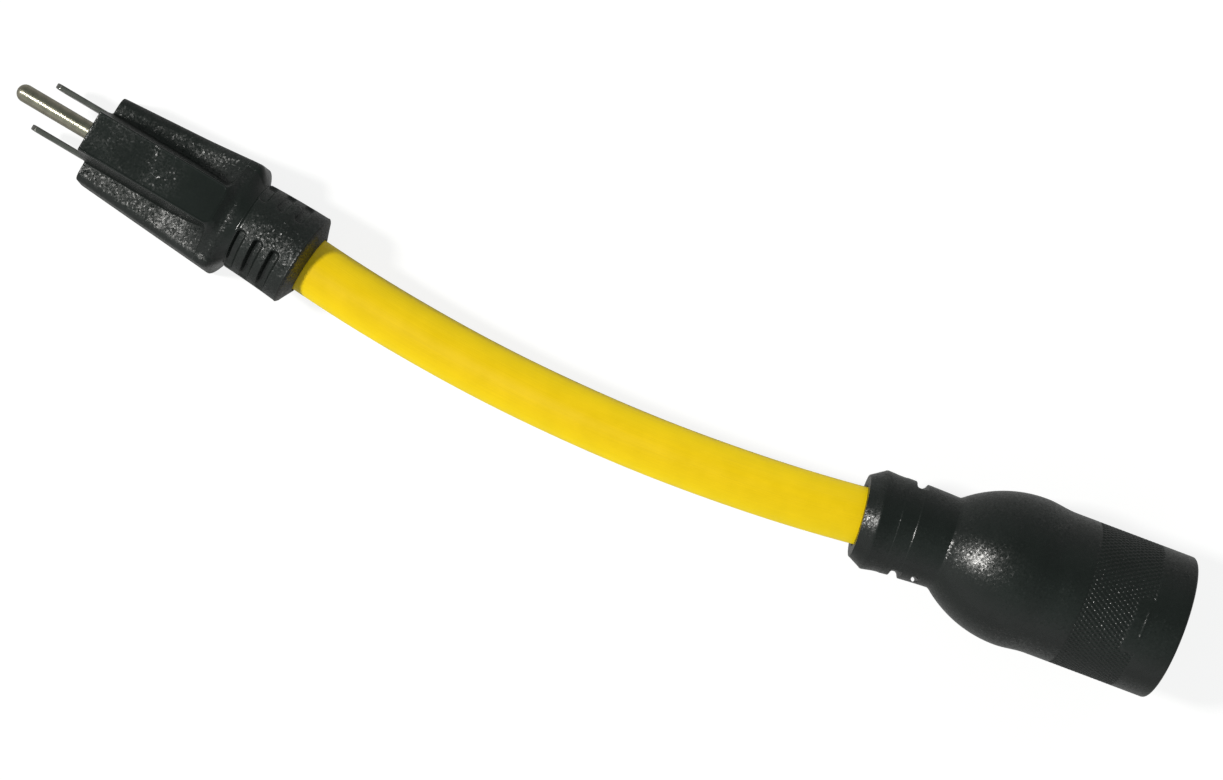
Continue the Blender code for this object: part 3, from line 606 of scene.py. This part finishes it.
def plated_metal(name, dark, light, rough, lean=0.0, drawn=0.000004):
    """Plated metal with faint tarnish and drawing lines along it, or turning marks if it leans."""
    made, nodes, links, shader = new_material(name)
    shader.inputs["Metallic"].default_value = 1.0
    coords = nodes.new("ShaderNodeTexCoord").outputs["Object"]
    clouds = noise(nodes, links, coords, 320.0, 4.0)
    links.new(blend_colour(nodes, links, remap(nodes, links, clouds, 0.35, 0.65, 0.0, 1.0), dark, light),
              shader.inputs["Base Color"])
    lines = noise(nodes, links, stretched(nodes, links, coords, (60.0, 4200.0, 4200.0)), 1.0, 2.0)
    links.new(remap(nodes, links, lines, 0.3, 0.7, rough[0], rough[1]), shader.inputs["Roughness"])
    turned = texture(nodes, links, "ShaderNodeTexVoronoi", coords, Scale=40000.0)
    spread = vector_maths(nodes, links, "MULTIPLY_ADD", turned.outputs["Color"],
                         (2 * lean, 0.0, 0.0), (-lean, 0.0, 0.0))
    normal = nodes.new("ShaderNodeNewGeometry").outputs["Normal"]
    marked = vector_maths(nodes, links, "NORMALIZE", vector_maths(nodes, links, "ADD", spread, normal))
    links.new(bump(nodes, links, lines, drawn, below=marked), shader.inputs["Normal"])
    return made


def strands(name, dark, light, metallic, scale):
    """Twisted strands or fibres: bands round the piece, with colour and gloss between them."""
    made, nodes, links, shader = new_material(name)
    shader.inputs["Metallic"].default_value = metallic
    coords = nodes.new("ShaderNodeTexCoord").outputs["Object"]
    bands = texture(nodes, links, "ShaderNodeTexWave", coords, Scale=scale, Distortion=1.5, Detail=2.0)
    level = bands.outputs["Fac"]
    links.new(blend_colour(nodes, links, level, dark, light), shader.inputs["Base Color"])
    links.new(remap(nodes, links, level, 0.0, 1.0, 0.6, 0.35), shader.inputs["Roughness"])
    links.new(bump(nodes, links, level, 0.0001), shader.inputs["Normal"])
    return made


RUBBER_DARK, RUBBER_LIGHT = (0.0048, 0.0068, 0.0059), (0.0074, 0.0102, 0.0090)
YELLOW_DEEP, YELLOW_BRIGHT = (0.84, 0.62, 0.0), (0.90, 0.668, 0.001)
COARSE = moulded_plastic("coarse_black", RUBBER_DARK, RUBBER_LIGHT, rough=(0.31, 0.48),
                         grain=0.00044, tilt=0.36, depth=0.00006, polished=True)
FINE = moulded_plastic("fine_black", RUBBER_DARK, RUBBER_LIGHT, rough=(0.22, 0.34),
                       grain=0.00048, tilt=0.17, depth=0.00004)
HARD = moulded_plastic("hard_black", (0.008, 0.008, 0.009), (0.012, 0.012, 0.013), rough=(0.24, 0.34),
                       grain=0.0004, tilt=0.06, depth=0.00002)
YELLOW = jacket_plastic("yellow_jacket")
NICKEL = plated_metal("nickel_plate", (0.23, 0.225, 0.21), (0.30, 0.295, 0.28), rough=(0.15, 0.22))
TURNED = plated_metal("turned_nickel", (0.30, 0.285, 0.225), (0.45, 0.425, 0.335), rough=(0.24, 0.3),
                      lean=0.34, drawn=0.000001)
BRASS = plated_metal("bare_brass", (0.66, 0.45, 0.16), (0.80, 0.58, 0.26), rough=(0.25, 0.4))
COPPER = strands("copper_strands", (0.55, 0.22, 0.10), (0.90, 0.48, 0.30), metallic=1.0, scale=900.0)
JUTE = strands("fibre_filler", (0.40, 0.31, 0.18), (0.62, 0.52, 0.36), metallic=0.0, scale=700.0)
CORE_COLOURS = {
    "black": ((0.012, 0.012, 0.012), (0.02, 0.02, 0.02)),
    "white": ((0.70, 0.70, 0.67), (0.82, 0.82, 0.79)),
    "green": ((0.02, 0.24, 0.06), (0.04, 0.33, 0.09)),
}
CORES = {f"insulation_{colour}": moulded_plastic(f"core_{colour}", dark, light, rough=(0.35, 0.5),
                                                 grain=0.0008, tilt=0.04, depth=0.00003)
         for colour, (dark, light) in CORE_COLOURS.items()}


def dress(obj, material, stands_for):
    """Give a new piece its material and its body, and hide the frame node that it stands for."""
    obj.data.materials.clear()
    obj.data.materials.append(material)
    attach(obj, "root")
    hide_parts(stands_for)


# ---- plug ----

def wing_height(x):
    """Height of the wings beside the ridge: low along the plug, then a climb to the shoulder."""
    ramp = soft_max(WING_SLOPE * (x - WING_CLIMB_START), 0.0, WING_EASE)
    return WING_TOP + soft_min(ramp, WING_CLIMB, WING_EASE)


def top_height(x, y):
    """Top of the plug: two wings that fall toward their edges, and the ridge over the pin."""
    wing = wing_height(x) - WING_DRAFT * np.maximum(np.abs(y) - RIDGE_HALF_TOP, 0.0)
    arch = np.clip(1 - (y / FACE_HALF_WIDTH) ** 2, 0.0, 1.0)
    wing = wing + CROWN * smooth((x - CROWN_START) / CROWN_CLIMB) * arch
    dx, dy = x - (RIDGE_LEN - RIDGE_CORNER), np.abs(y) - (RIDGE_HALF_TOP - RIDGE_CORNER)
    out = np.hypot(np.maximum(dx, 0), np.maximum(dy, 0)) + np.minimum(np.maximum(dx, dy), 0) - RIDGE_CORNER
    rear = smooth((x - RIDGE_LEN + RIDGE_REAR) / RIDGE_REAR_BLEND)
    steep = (RIDGE_TOP - WING_TOP) / RIDGE_FLANK * (1 - rear) + RIDGE_REAR_SLOPE * rear
    flank = soft_min(np.full_like(out, RIDGE_TOP), RIDGE_TOP - steep * out, RIDGE_EDGE)
    bead = RIDGE_BEAD * np.exp(-((out + RIDGE_BEAD_INSET) / RIDGE_BEAD_WIDTH) ** 2)
    return soft_max(flank, wing, RIDGE_FOOT) + bead


def body_section(x, inset=0.0):
    """Half of the plug's section, from the middle of its back to the middle of its top."""
    grow = min(x / PLUG_BODY_LEN, 1.0)
    wide = FACE_HALF_WIDTH + (SHOULDER_HALF_WIDTH - FACE_HALF_WIDTH) * grow - inset
    back, at = -AXIS_HEIGHT + inset, min(x, PLUG_BODY_LEN)
    inner = wide - SIDE_LEAN - WING_CORNER
    edge_top = float(top_height(at, np.array([inner]))[0]) - inset
    quarter = np.linspace(0.0, np.pi / 2, 9)
    low, high = back + BACK_CORNER, edge_top - WING_CORNER
    level = np.linspace(0, wide - BACK_CORNER, 40)[:-1]
    up = np.linspace(0, 1, 30)[1:-1]
    flank_foot, flank_head = RIDGE_HALF_TOP + 0.7, RIDGE_HALF_TOP - 1.3
    across = np.concatenate([np.linspace(inner, flank_foot, 50)[1:],
                             np.linspace(flank_foot, flank_head, 30)[1:],
                             np.linspace(flank_head, 0.0, 26)[1:]])
    return np.vstack([
        np.stack([level, np.full_like(level, back)], axis=1),
        np.stack([wide - BACK_CORNER + BACK_CORNER * np.sin(quarter),
                  low - BACK_CORNER * np.cos(quarter)], axis=1),
        np.stack([wide - SIDE_LEAN * up, low + (high - low) * up], axis=1),
        np.stack([inner + WING_CORNER * np.cos(quarter), high + WING_CORNER * np.sin(quarter)], axis=1),
        np.stack([across, top_height(at, across) - inset], axis=1),
    ])


def mirrored(half):
    """A whole closed section from its right half."""
    return np.vstack([half, half[-2:0:-1] * (-1, 1)])


def station(x, section):
    """A section's points, placed at x."""
    return np.column_stack([np.full(len(section), x), section])


def pocket_outline(count):
    """Half the outline of the carrier's pocket, in as many points as half a section has."""
    wide, narrow = BRIDGE_WIDE + GAP, BRIDGE_NARROW + GAP
    low, step, high = BRIDGE_LOW - GAP, BRIDGE_STEP + GAP, BRIDGE_HIGH + GAP
    corners = np.array([(0, low), (wide, low), (wide, step), (narrow, step), (narrow, high), (0, high)])
    lengths = np.hypot(*np.diff(corners, axis=0).T)
    reach = np.concatenate([[0.0], np.cumsum(lengths)])
    along = np.linspace(0.0, reach[-1], count)
    for corner in reach[1:-1]:
        along[np.argmin(np.abs(along - corner))] = corner
    return np.stack([np.interp(along, reach, corners[:, axis]) for axis in range(2)], axis=1)


def leaning(points):
    """Points near the plug's face, moved forward the higher they are."""
    points = points.copy()
    points[:, 0] -= (FACE_LEAN * smooth((points[:, 2] - FACE_LEAN_FROM) / FACE_LEAN_RISE)
                     * np.clip(1 - points[:, 0] / FACE_LEAN_REACH, 0.0, 1.0))
    return points


def plug_body():
    """Rings of the plug's body, from the carrier's pocket round the face's edge to the shoulder."""
    first = body_section(0.0)
    pocket = mirrored(pocket_outline(len(first)))
    rings = [station(BRIDGE_LEN, pocket), station(0.0, pocket)]
    for angle in np.linspace(0.0, 90.0, 5):
        round_off = FACE_EDGE * (1 - math.sin(math.radians(angle)))
        rings.append(leaning(station(FACE_EDGE * (1 - math.cos(math.radians(angle))),
                                     mirrored(body_section(0.0, round_off)))))
    dense_from = RIDGE_LEN - RIDGE_DENSE
    for x in np.concatenate([np.arange(1.0, dense_from, 0.5), np.arange(dense_from, PLUG_BODY_LEN, 0.16)]):
        rings.append(leaning(station(x, mirrored(body_section(x)))))
    end = mirrored(body_section(PLUG_BODY_LEN))
    turn = np.arctan2(end[:, 1], end[:, 0])
    collar = np.stack([np.cos(turn), np.sin(turn)], axis=1) * (RELIEF_FRONT_R - RELIEF_FOLD)
    above = np.clip(np.sin(turn), 0.0, 1.0)[:, None]
    for t in np.linspace(0.0, 1.0, 24)[1:]:
        mix = (1.0 - math.cos(t * math.pi / 2)) * (1 - above) + smooth(t) * above
        rings.append(station(PLUG_BODY_LEN + PLUG_SHOULDER_LEN * t, end + (collar - end) * mix))
    rings.append(station(RELIEF_AT + 0.1, collar * 0.9))
    return np.array(rings)


def relief_slots(x, turn, radius):
    """Depth of the relief's slots at x. Those on the side of the cord's bow fade toward mid-height."""
    depths = np.zeros_like(turn)
    for row in range(RELIEF_SLOT_ROWS):
        for middle, half, depth in RELIEF_SLOTS:
            s = arc_from(turn, middle, radius)
            reach = radius * math.radians(half)
            out = rounded_box(x - RELIEF_SLOT_AT - RELIEF_SLOT_PITCH * row, s,
                              RELIEF_SLOT_HALF, reach, RELIEF_SLOT_ROUND)
            fade = 1.0
            if abs(middle - 180) < 90:
                toward_side = -math.copysign(1.0, math.sin(2 * math.radians(middle))) * s
                deep = smooth((reach - toward_side) / RELIEF_SLOT_FADE)
                fade = RELIEF_SLOT_SHALLOW + (1 - RELIEF_SLOT_SHALLOW) * deep
            depths += depth * smooth(0.5 - out / RELIEF_SLOT_WALL) * fade
    return depths


def relief_rings():
    """The plug's strain relief: three rows of curved slots and a bore that the cord leaves by."""
    turn = around(360)
    rings = []
    for x in np.arange(RELIEF_AT - RELIEF_INSIDE, RELIEF_CORNER - RELIEF_EDGE_ROOM, 0.14):
        along = max(x - RELIEF_AT, 0) / (PLUG_LEN - RELIEF_AT)
        radius = RELIEF_FRONT_R + (RELIEF_END_R - RELIEF_FRONT_R) * along
        fold = RELIEF_FOLD * (1 - smooth(x - RELIEF_AT + RELIEF_FOLD_AHEAD))
        rings.append(round_ring(x, radius - fold - relief_slots(x, turn, radius), turn))
    cone = (RELIEF_END_R - RELIEF_MOUTH_R) / (PLUG_LEN - RELIEF_CORNER)
    for t in np.linspace(-0.5, 0.5, 7):
        fall = max(t, 0.0) * cone * RELIEF_EDGE_SLOPE + RELIEF_EDGE_DROP * (1 - abs(t) / 0.5)
        rings.append(round_ring(RELIEF_CORNER + t * RELIEF_EDGE_SPAN, RELIEF_END_R - fall, turn))
    for t in np.linspace(0.25, 1.0, 8):
        rings.append(round_ring(RELIEF_CORNER + (PLUG_LEN - RELIEF_CORNER) * t,
                                RELIEF_END_R + (RELIEF_MOUTH_R - RELIEF_END_R) * t, turn))
    for depth in (GAP, RELIEF_BORE):
        rings.append(round_ring(PLUG_LEN - depth, CORD_R + GAP, turn))
    return np.array(rings)


def make_plug():
    """The plug's moulding, its carrier, its blades and its pin."""
    body = skin("plug_body_skin", plug_body())
    relief = skin("plug_relief_skin", relief_rings())
    dress(joined("plug_moulding", body, relief), COARSE, "plug_overmould")
    make_bridge()
    for name, side in (("blade_hot", -1), ("blade_neutral", 1)):
        make_blade(name, side)
    make_pin()


def make_bridge():
    """The hard carrier of the blades and the pin."""
    wide, narrow = BRIDGE_WIDE, BRIDGE_NARROW
    outline = [(-wide, BRIDGE_LOW), (wide, BRIDGE_LOW), (wide, BRIDGE_STEP), (narrow, BRIDGE_STEP),
               (narrow, BRIDGE_HIGH), (-narrow, BRIDGE_HIGH), (-narrow, BRIDGE_STEP), (-wide, BRIDGE_STEP)]
    bridge = bevelled(solid("plug_carrier", outline, 0.0, BRIDGE_LEN), BRIDGE_EDGE)
    low, high = -CUT_PAST, BRIDGE_LEN + CUT_PAST
    cutters = [solid("pin_hole", circle(PIN_R + HOLE_CLEARANCE, 48, 0.0, PIN_Z), low, high)]
    for side in (-1, 1):
        y, reach, tall = side * PITCH / 2, BLADE_THICK / 2 + HOLE_CLEARANCE, BLADE_HEIGHT / 2 + HOLE_CLEARANCE
        box = [(y - reach, BLADE_Z - tall), (y + reach, BLADE_Z - tall),
               (y + reach, BLADE_Z + tall), (y - reach, BLADE_Z + tall)]
        cutters.append(solid(f"blade_hole_{side}", box, low, high))
    cut(bridge, *cutters)
    straight_to_route(bridge)
    shaded(bridge.data, 30.0)
    dress(bridge, HARD, "plug_bridge")


def make_blade(name, side):
    """A blade with coined edges, a chamfered tip and a hole."""
    y, half, chamfer = side * PITCH / 2, BLADE_HEIGHT / 2, BLADE_CHAMFER
    bulge_x, bulge_z = BLADE_CHAMFER_BULGE
    nose = [(-BLADE_LEN + chamfer, half), (-BLADE_LEN + bulge_x * chamfer, half - bulge_z * chamfer),
            (-BLADE_LEN, half - chamfer)]
    lower = [(x, -z) for x, z in nose]
    outline = [(BRIDGE_LEN - GAP, -half), *lower, *nose[::-1], (BRIDGE_LEN - GAP, half)]
    outline = [(x, z + BLADE_Z) for x, z in outline]
    blade = solid(name + "_look", outline, y - BLADE_THICK / 2, y + BLADE_THICK / 2, axis="Y")
    hole = solid(name + "_hole", circle(BLADE_HOLE_R, 40, BLADE_HOLE_AT - BLADE_LEN, BLADE_Z),
                 y - BLADE_THICK / 2 - CUT_PAST, y + BLADE_THICK / 2 + CUT_PAST, axis="Y")
    cut(blade, hole)
    bevelled(blade, BLADE_EDGE)
    straight_to_route(blade)
    shaded(blade.data, 50.0)
    blade.modifiers.new("Flat", "WEIGHTED_NORMAL").weight = 100
    applied(blade)
    dress(blade, NICKEL, name)


def make_pin():
    """A round pin with a domed tip, and behind the carrier its neck and crimp barrel."""
    arc = np.radians(np.linspace(4, 90, 12))
    profile = [(-PIN_LEN + PIN_R * (1 - math.cos(a)), PIN_R * math.sin(a)) for a in arc]
    profile += [(x, PIN_R) for x in np.linspace(-PIN_LEN + PIN_R + 0.5, BRIDGE_LEN - 0.6, 20)]
    profile += [(BRIDGE_LEN + behind, radius) for behind, radius in PIN_TAIL]
    turn = around(64)
    pin = skin("ground_pin_look", [round_ring(x, radius, turn, 0.0, PIN_Z) for x, radius in profile], 50)
    dress(pin, TURNED, "ground_pin")


# ---- cord ----

def make_cord():
    """The jacket, with slight traces of the three twisted cores."""
    stations = np.linspace(JACKET_START, JACKET_END, 420)
    turn = around(96)
    rings = []
    for x in stations:
        ripple = CORD_LOBES * np.sin(3 * turn + 0.02 * x) + CORD_WAVER * math.sin(x / 7.0) * np.cos(turn)
        rings.append(round_ring(x, CORD_R - CORD_SKIN + ripple, turn))
    cord = skin("cord_jacket_look", rings, 60)
    layer = cord.data.uv_layers.new(name="Along")
    loops = np.empty(len(cord.data.loops), dtype=np.int64)
    cord.data.loops.foreach_get("vertex_index", loops)
    row, column = loops // len(turn), loops % len(turn)
    layer.data.foreach_set("uv", np.stack([row / len(stations), column / len(turn)], axis=1).ravel())
    dress(cord, YELLOW, "cord_jacket")


# ---- connector ----

def barrel_radius(d):
    """Radius of the connector's bulb and barrel at distances from its face."""
    swell = (1 - np.cos(np.pi * np.clip((d - BARREL_LEN) / (BULB_AT - BARREL_LEN), 0, 1))) / 2
    front = BARREL_R + (BULB_R - BARREL_R) * swell
    back = np.clip(d - BULB_AT, 0.0, BULB_REAR - BULB_AT)
    return front - (BULB_ARC_R - np.sqrt(BULB_ARC_R ** 2 - back ** 2))


def knurl(d, turn):
    """Depth of a diamond knurl below the barrel's surface, 0 outside its band."""
    slant = math.tan(math.radians(KNURL_SLANT)) * KNURL_STARTS / (2 * math.pi * BARREL_R)
    starts = KNURL_STARTS * turn / (2 * np.pi)
    ridges = [np.abs(2 * np.mod(d * slant + way, 1) - 1) for way in (starts, -starts)]
    pattern = 1 - smooth(ridges[0] * ridges[1] * KNURL_CROWDING)
    band = smooth((d - KNURL_FROM) / KNURL_FADE) * smooth((KNURL_TO - d) / KNURL_FADE)
    patch = rounded_box(d - KNURL_FROM, arc_from(turn, PATCH_TURN, BARREL_R), *PATCH_HALF, PATCH_ROUND)
    plain = smooth(0.5 - patch / PATCH_EDGE)
    return KNURL_DEPTH * pattern * band * (1 - plain)


def dash(d, turn):
    """Height of a short raised rib on the plain patch beside the knurl."""
    out = rounded_box(d - DASH_AT, arc_from(turn, DASH_TURN, BARREL_R), *DASH_HALF, DASH_EDGE)
    return DASH_HEIGHT * smooth(0.5 - out / DASH_EDGE)


def behind_face(profile, turn):
    """Rings of a profile that is given as distances from the connector's face, and radii."""
    return np.array([round_ring(FACE - d, radius, turn) for d, radius in profile])


def connector_barrel():
    """Rings from the insert's pocket round the rim, and over the barrel and the bulb to the neck."""
    turn = around(640)
    inner = INSERT_R + GAP
    profile = [(INSERT_LEN, inner), (MOUTH_EDGE, inner), (0.0, inner + MOUTH_EDGE)]
    for angle in np.linspace(0.0, 90.0, 7):
        a = math.radians(angle)
        profile.append((RIM_ROUND - RIM_ROUND * math.cos(a), BARREL_R - RIM_ROUND + RIM_ROUND * math.sin(a)))
    stations = np.concatenate([np.arange(1.2, KNURL_FROM, 0.35), np.arange(KNURL_FROM, KNURL_TO, 0.2),
                               np.arange(KNURL_TO, SLEEVE_AT - 1.2, 0.45)])
    profile += [(d, barrel_radius(d) - knurl(d, turn) + dash(d, turn)) for d in stations]
    profile += [(BULB_REAR - 0.2, barrel_radius(BULB_REAR - 0.2)),
                (SLEEVE_AT - 0.4, SLEEVE_R - 0.1), (SLEEVE_AT, 9.0)]
    return behind_face(profile, turn)


def sleeve_radius(d, turn):
    """Radius of the connector's relief, with the notch on each side and the small steps."""
    along = np.clip((d - SLEEVE_AT) / (CHAMFER_AT - SLEEVE_AT), 0, 1)
    radius = SLEEVE_R + (SLEEVE_END_R - SLEEVE_R) * along
    bowl = NOTCH_DEPTH * (1 - min(abs(d - NOTCH_AT) / NOTCH_HALF, 1.0) ** NOTCH_BOWL)
    from_side = np.degrees(np.abs(np.arcsin(np.sin(turn))))
    drop = sum(step * smooth((d - at) / STEP_EDGE) for at, step in STEPS)
    drop *= smooth((CHAMFER_AT - d) / STEPS_FADE)
    return radius - bowl * smooth((NOTCH_REACH - from_side) / NOTCH_FADE) - drop


def connector_relief():
    """Rings over the connector's relief and its chamfer, and into the bore that the cord comes in by."""
    turn = around(420)
    profile = [(BULB_REAR - 2.0, SLEEVE_R - 1.0)]
    stations = np.arange(BULB_REAR - 1.4, CHAMFER_AT - CHAMFER_EDGE, 0.12)
    profile += [(d, sleeve_radius(d, turn)) for d in stations]
    profile += [(CHAMFER_AT - CHAMFER_EDGE + 2 * CHAMFER_EDGE * t, SLEEVE_END_R - 0.12 * t * t)
                for t in np.linspace(0.0, 1.0, 5)]
    profile += [(CHAMFER_AT + (CONN_LEN - CHAMFER_AT) * t, SLEEVE_END_R + (CHAMFER_R - SLEEVE_END_R) * t)
                for t in np.linspace(0.08, 1.0, 12)]
    profile += [(CONN_LEN, CORD_R + 2 * GAP), (CONN_LEN - GAP, CORD_R + GAP),
                (CONN_LEN - RELIEF_BORE, CORD_R + GAP)]
    return behind_face(profile, turn)


def eyelet_cutter():
    """An upright rod of oval section, where the small hole goes through the relief's edge."""
    long, wide = EYELET_HALF
    outline = [(FACE - EYELET_AT + long * math.cos(a), EYELET_Y + wide * math.sin(a)) for a in around(28)]
    rod = solid("eyelet_cutter", outline, -EYELET_REACH, EYELET_REACH, axis="Y")
    rod.data.transform(Matrix.Rotation(math.radians(-90), 4, "X"))
    return straight_to_route(rod)


def make_connector():
    """The connector's moulding, and the hard face with its slots."""
    relief = cut(skin("relief_skin", connector_relief()), eyelet_cutter())
    moulding = joined("connector_moulding", skin("barrel_skin", connector_barrel()), relief)
    dress(moulding, FINE, "connector_overmould")
    front = FACE - INSERT_RECESS
    insert = solid("connector_face", circle(INSERT_R, 160), FACE - INSERT_LEN, front)
    low, high = front - SLOT_DEPTH, front + CUT_PAST
    cutters = [solid(f"slot_{i}", arc_slot(middle, half, SLOT_R, SLOT_HALF), low, high)
               for i, (middle, half) in enumerate(SLOTS)]
    hook = [(-SLOT_HALF, HOOK_INNER_R), (SLOT_HALF, HOOK_INNER_R), (SLOT_HALF, SLOT_R), (-SLOT_HALF, SLOT_R)]
    hook_cutter = solid("slot_hook", hook, low + HOOK_OFFSET, high + HOOK_OFFSET)
    hook_cutter.data.transform(Matrix.Rotation(math.radians(HOOK_TURN), 4, "X"))
    cut(insert, *cutters, hook_cutter)
    bevelled(insert, INSERT_EDGE, segments=2, angle=50.0)
    straight_to_route(insert)
    shaded(insert.data, 30.0)
    dress(insert, HARD, "connector_insert")


# ---- carried-over pieces ----

def finish_inner():
    """New materials on the inner pieces, which keep their frame meshes."""
    by_kind = {"conductor": COPPER, "filler": JUTE, "contact": BRASS, "insert": HARD}
    for name, obj in frame["nodes"].items():
        material = CORES.get(name, by_kind.get(name.split("_")[0]))
        if material:
            for slot in obj.material_slots:
                slot.material = material


# ---- stage ----
# Its lengths are in metres.

FLOOR_HALF = 1.6
FLOOR_CELLS = 24
FLOOR_AT = -0.0004              # just clear of the adapter
FLOOR_TONE = 0.18
FLOOR_GLOW = 0.85               # the floor's own light, as the camera sees it
FLOOR_BOUNCE = 0.2              # and as the adapter gets it
WHITE = (1.0, 1.0, 1.0)
OVERHEAD_LIGHT = 0.19
HORIZON_LIGHT = 0.1
HORIZON_COLOUR = (1.0, 1.0, 1.0)
OVERHEAD_COLOUR = (0.86, 1.0, 0.93)
WINDOW_SIDE = (-0.3, -0.95, 0.12)
WINDOW_GLOW = 0.34
KEY_PLACE = (-1.40, -0.37, 1.67)
KEY_TARGET = (0.09, -0.005, 0.03)
KEY_SIDE = 0.26
KEY_POWER = 43.0
KEY_COLOUR = (1.0, 0.985, 0.95)
FILL_PLACE = (0.35, 1.35, 0.85)
FILL_TARGET = (0.0, 0.0, 0.02)
FILL_SIDE = 1.2
FILL_POWER = 3.6
SENSOR_WIDTH = 36.0
LENS = 85.5
CAMERA_PLACE = (0.00247, -0.03616, 0.77537)
CAMERA_TURNS = ((0.43736, "Z"), (-0.02352, "Y"), (0.03674, "X"))    # radians, in order


def make_floor():
    """A plain pale floor, white to the camera and dimmer to everything else."""
    count = FLOOR_CELLS
    row = count + 1
    verts = [((i / count - 0.5) * 2 * FLOOR_HALF, (j / count - 0.5) * 2 * FLOOR_HALF, FLOOR_AT)
             for i in range(row) for j in range(row)]
    corners = [i * row + j for i in range(count) for j in range(count)]
    faces = [(first, first + row, first + row + 1, first + 1) for first in corners]
    mesh = bpy.data.meshes.new("floor")
    mesh.from_pydata(verts, [], faces)
    floor = placed("floor", mesh)
    made, nodes, links, shader = new_material("pale_floor")
    shader.inputs["Base Color"].default_value = (FLOOR_TONE, FLOOR_TONE, FLOOR_TONE, 1.0)
    shader.inputs["Roughness"].default_value = 0.9
    shader.inputs["Specular IOR Level"].default_value = 0.0
    shader.inputs["Emission Color"].default_value = (*WHITE, 1.0)
    seen = nodes.new("ShaderNodeLightPath").outputs["Is Camera Ray"]
    glow = remap(nodes, links, seen, 0.0, 1.0, FLOOR_BOUNCE, FLOOR_GLOW)
    links.new(glow, shader.inputs["Emission Strength"])
    mesh.materials.append(made)


def area_light(name, place, target, side, power, colour):
    """A square lamp that faces its target."""
    light = bpy.data.lights.new(name, "AREA")
    light.shape = "RECTANGLE"
    light.size = light.size_y = side
    light.energy = power
    light.color = colour
    obj = placed(name, light)
    obj.location = place
    obj.rotation_euler = (Vector(target) - Vector(place)).to_track_quat("-Z", "Y").to_euler()
    return obj


def make_world():
    """A soft dim room, a little brighter at the horizon and on the side of the windows.

    The camera sees a white backdrop in its place."""
    world = bpy.data.worlds.new("soft_room")
    bpy.context.scene.world = world
    world.use_nodes = True
    nodes, links = world.node_tree.nodes, world.node_tree.links
    toward = nodes.new("ShaderNodeTexCoord").outputs["Generated"]
    split = nodes.new("ShaderNodeSeparateXYZ")
    links.new(toward, split.inputs["Vector"])
    low_down = remap(nodes, links, split.outputs["Z"], 0.12, 0.85, 1.0, 0.0)
    window = calculated(nodes, links, "ShaderNodeVectorMath", "DOT_PRODUCT",
                        (toward, Vector(WINDOW_SIDE).normalized())).outputs["Value"]
    glow = remap(nodes, links, window, -0.1, 1.0, 0.0, WINDOW_GLOW)
    level = maths(nodes, links, "MULTIPLY_ADD", low_down, HORIZON_LIGHT, glow)
    total = maths(nodes, links, "ADD", level, OVERHEAD_LIGHT)
    seen = nodes.new("ShaderNodeLightPath").outputs["Is Camera Ray"]
    back = nodes["Background"]
    links.new(blend_colour(nodes, links, low_down, OVERHEAD_COLOUR, HORIZON_COLOUR), back.inputs["Color"])
    links.new(maths(nodes, links, "MAXIMUM", total, seen), back.inputs["Strength"])


def make_lights():
    """One strong small key lamp, and a weak wide fill that no surface mirrors."""
    area_light("key", KEY_PLACE, KEY_TARGET, KEY_SIDE, KEY_POWER, KEY_COLOUR)
    fill = area_light("fill", FILL_PLACE, FILL_TARGET, FILL_SIDE, FILL_POWER, WHITE)
    fill.visible_glossy = False
    fill.visible_camera = False


def make_camera():
    """A long lens nearly straight above, with the adapter lying askew across its view."""
    data = bpy.data.cameras.new("camera")
    camera = placed("camera", data)
    data.sensor_width = SENSOR_WIDTH
    data.lens = LENS
    data.clip_start, data.clip_end = 0.01, 20.0
    stand = Matrix.Translation(CAMERA_PLACE)
    for angle, axis in CAMERA_TURNS:
        stand = stand @ Matrix.Rotation(angle, 4, axis)
    camera.matrix_world = stand
    bpy.context.scene.camera = camera


make_camera()
make_cord()
make_plug()
make_connector()
finish_inner()
make_floor()
make_world()
make_lights()
bpy.context.scene.view_settings.view_transform = "Standard"
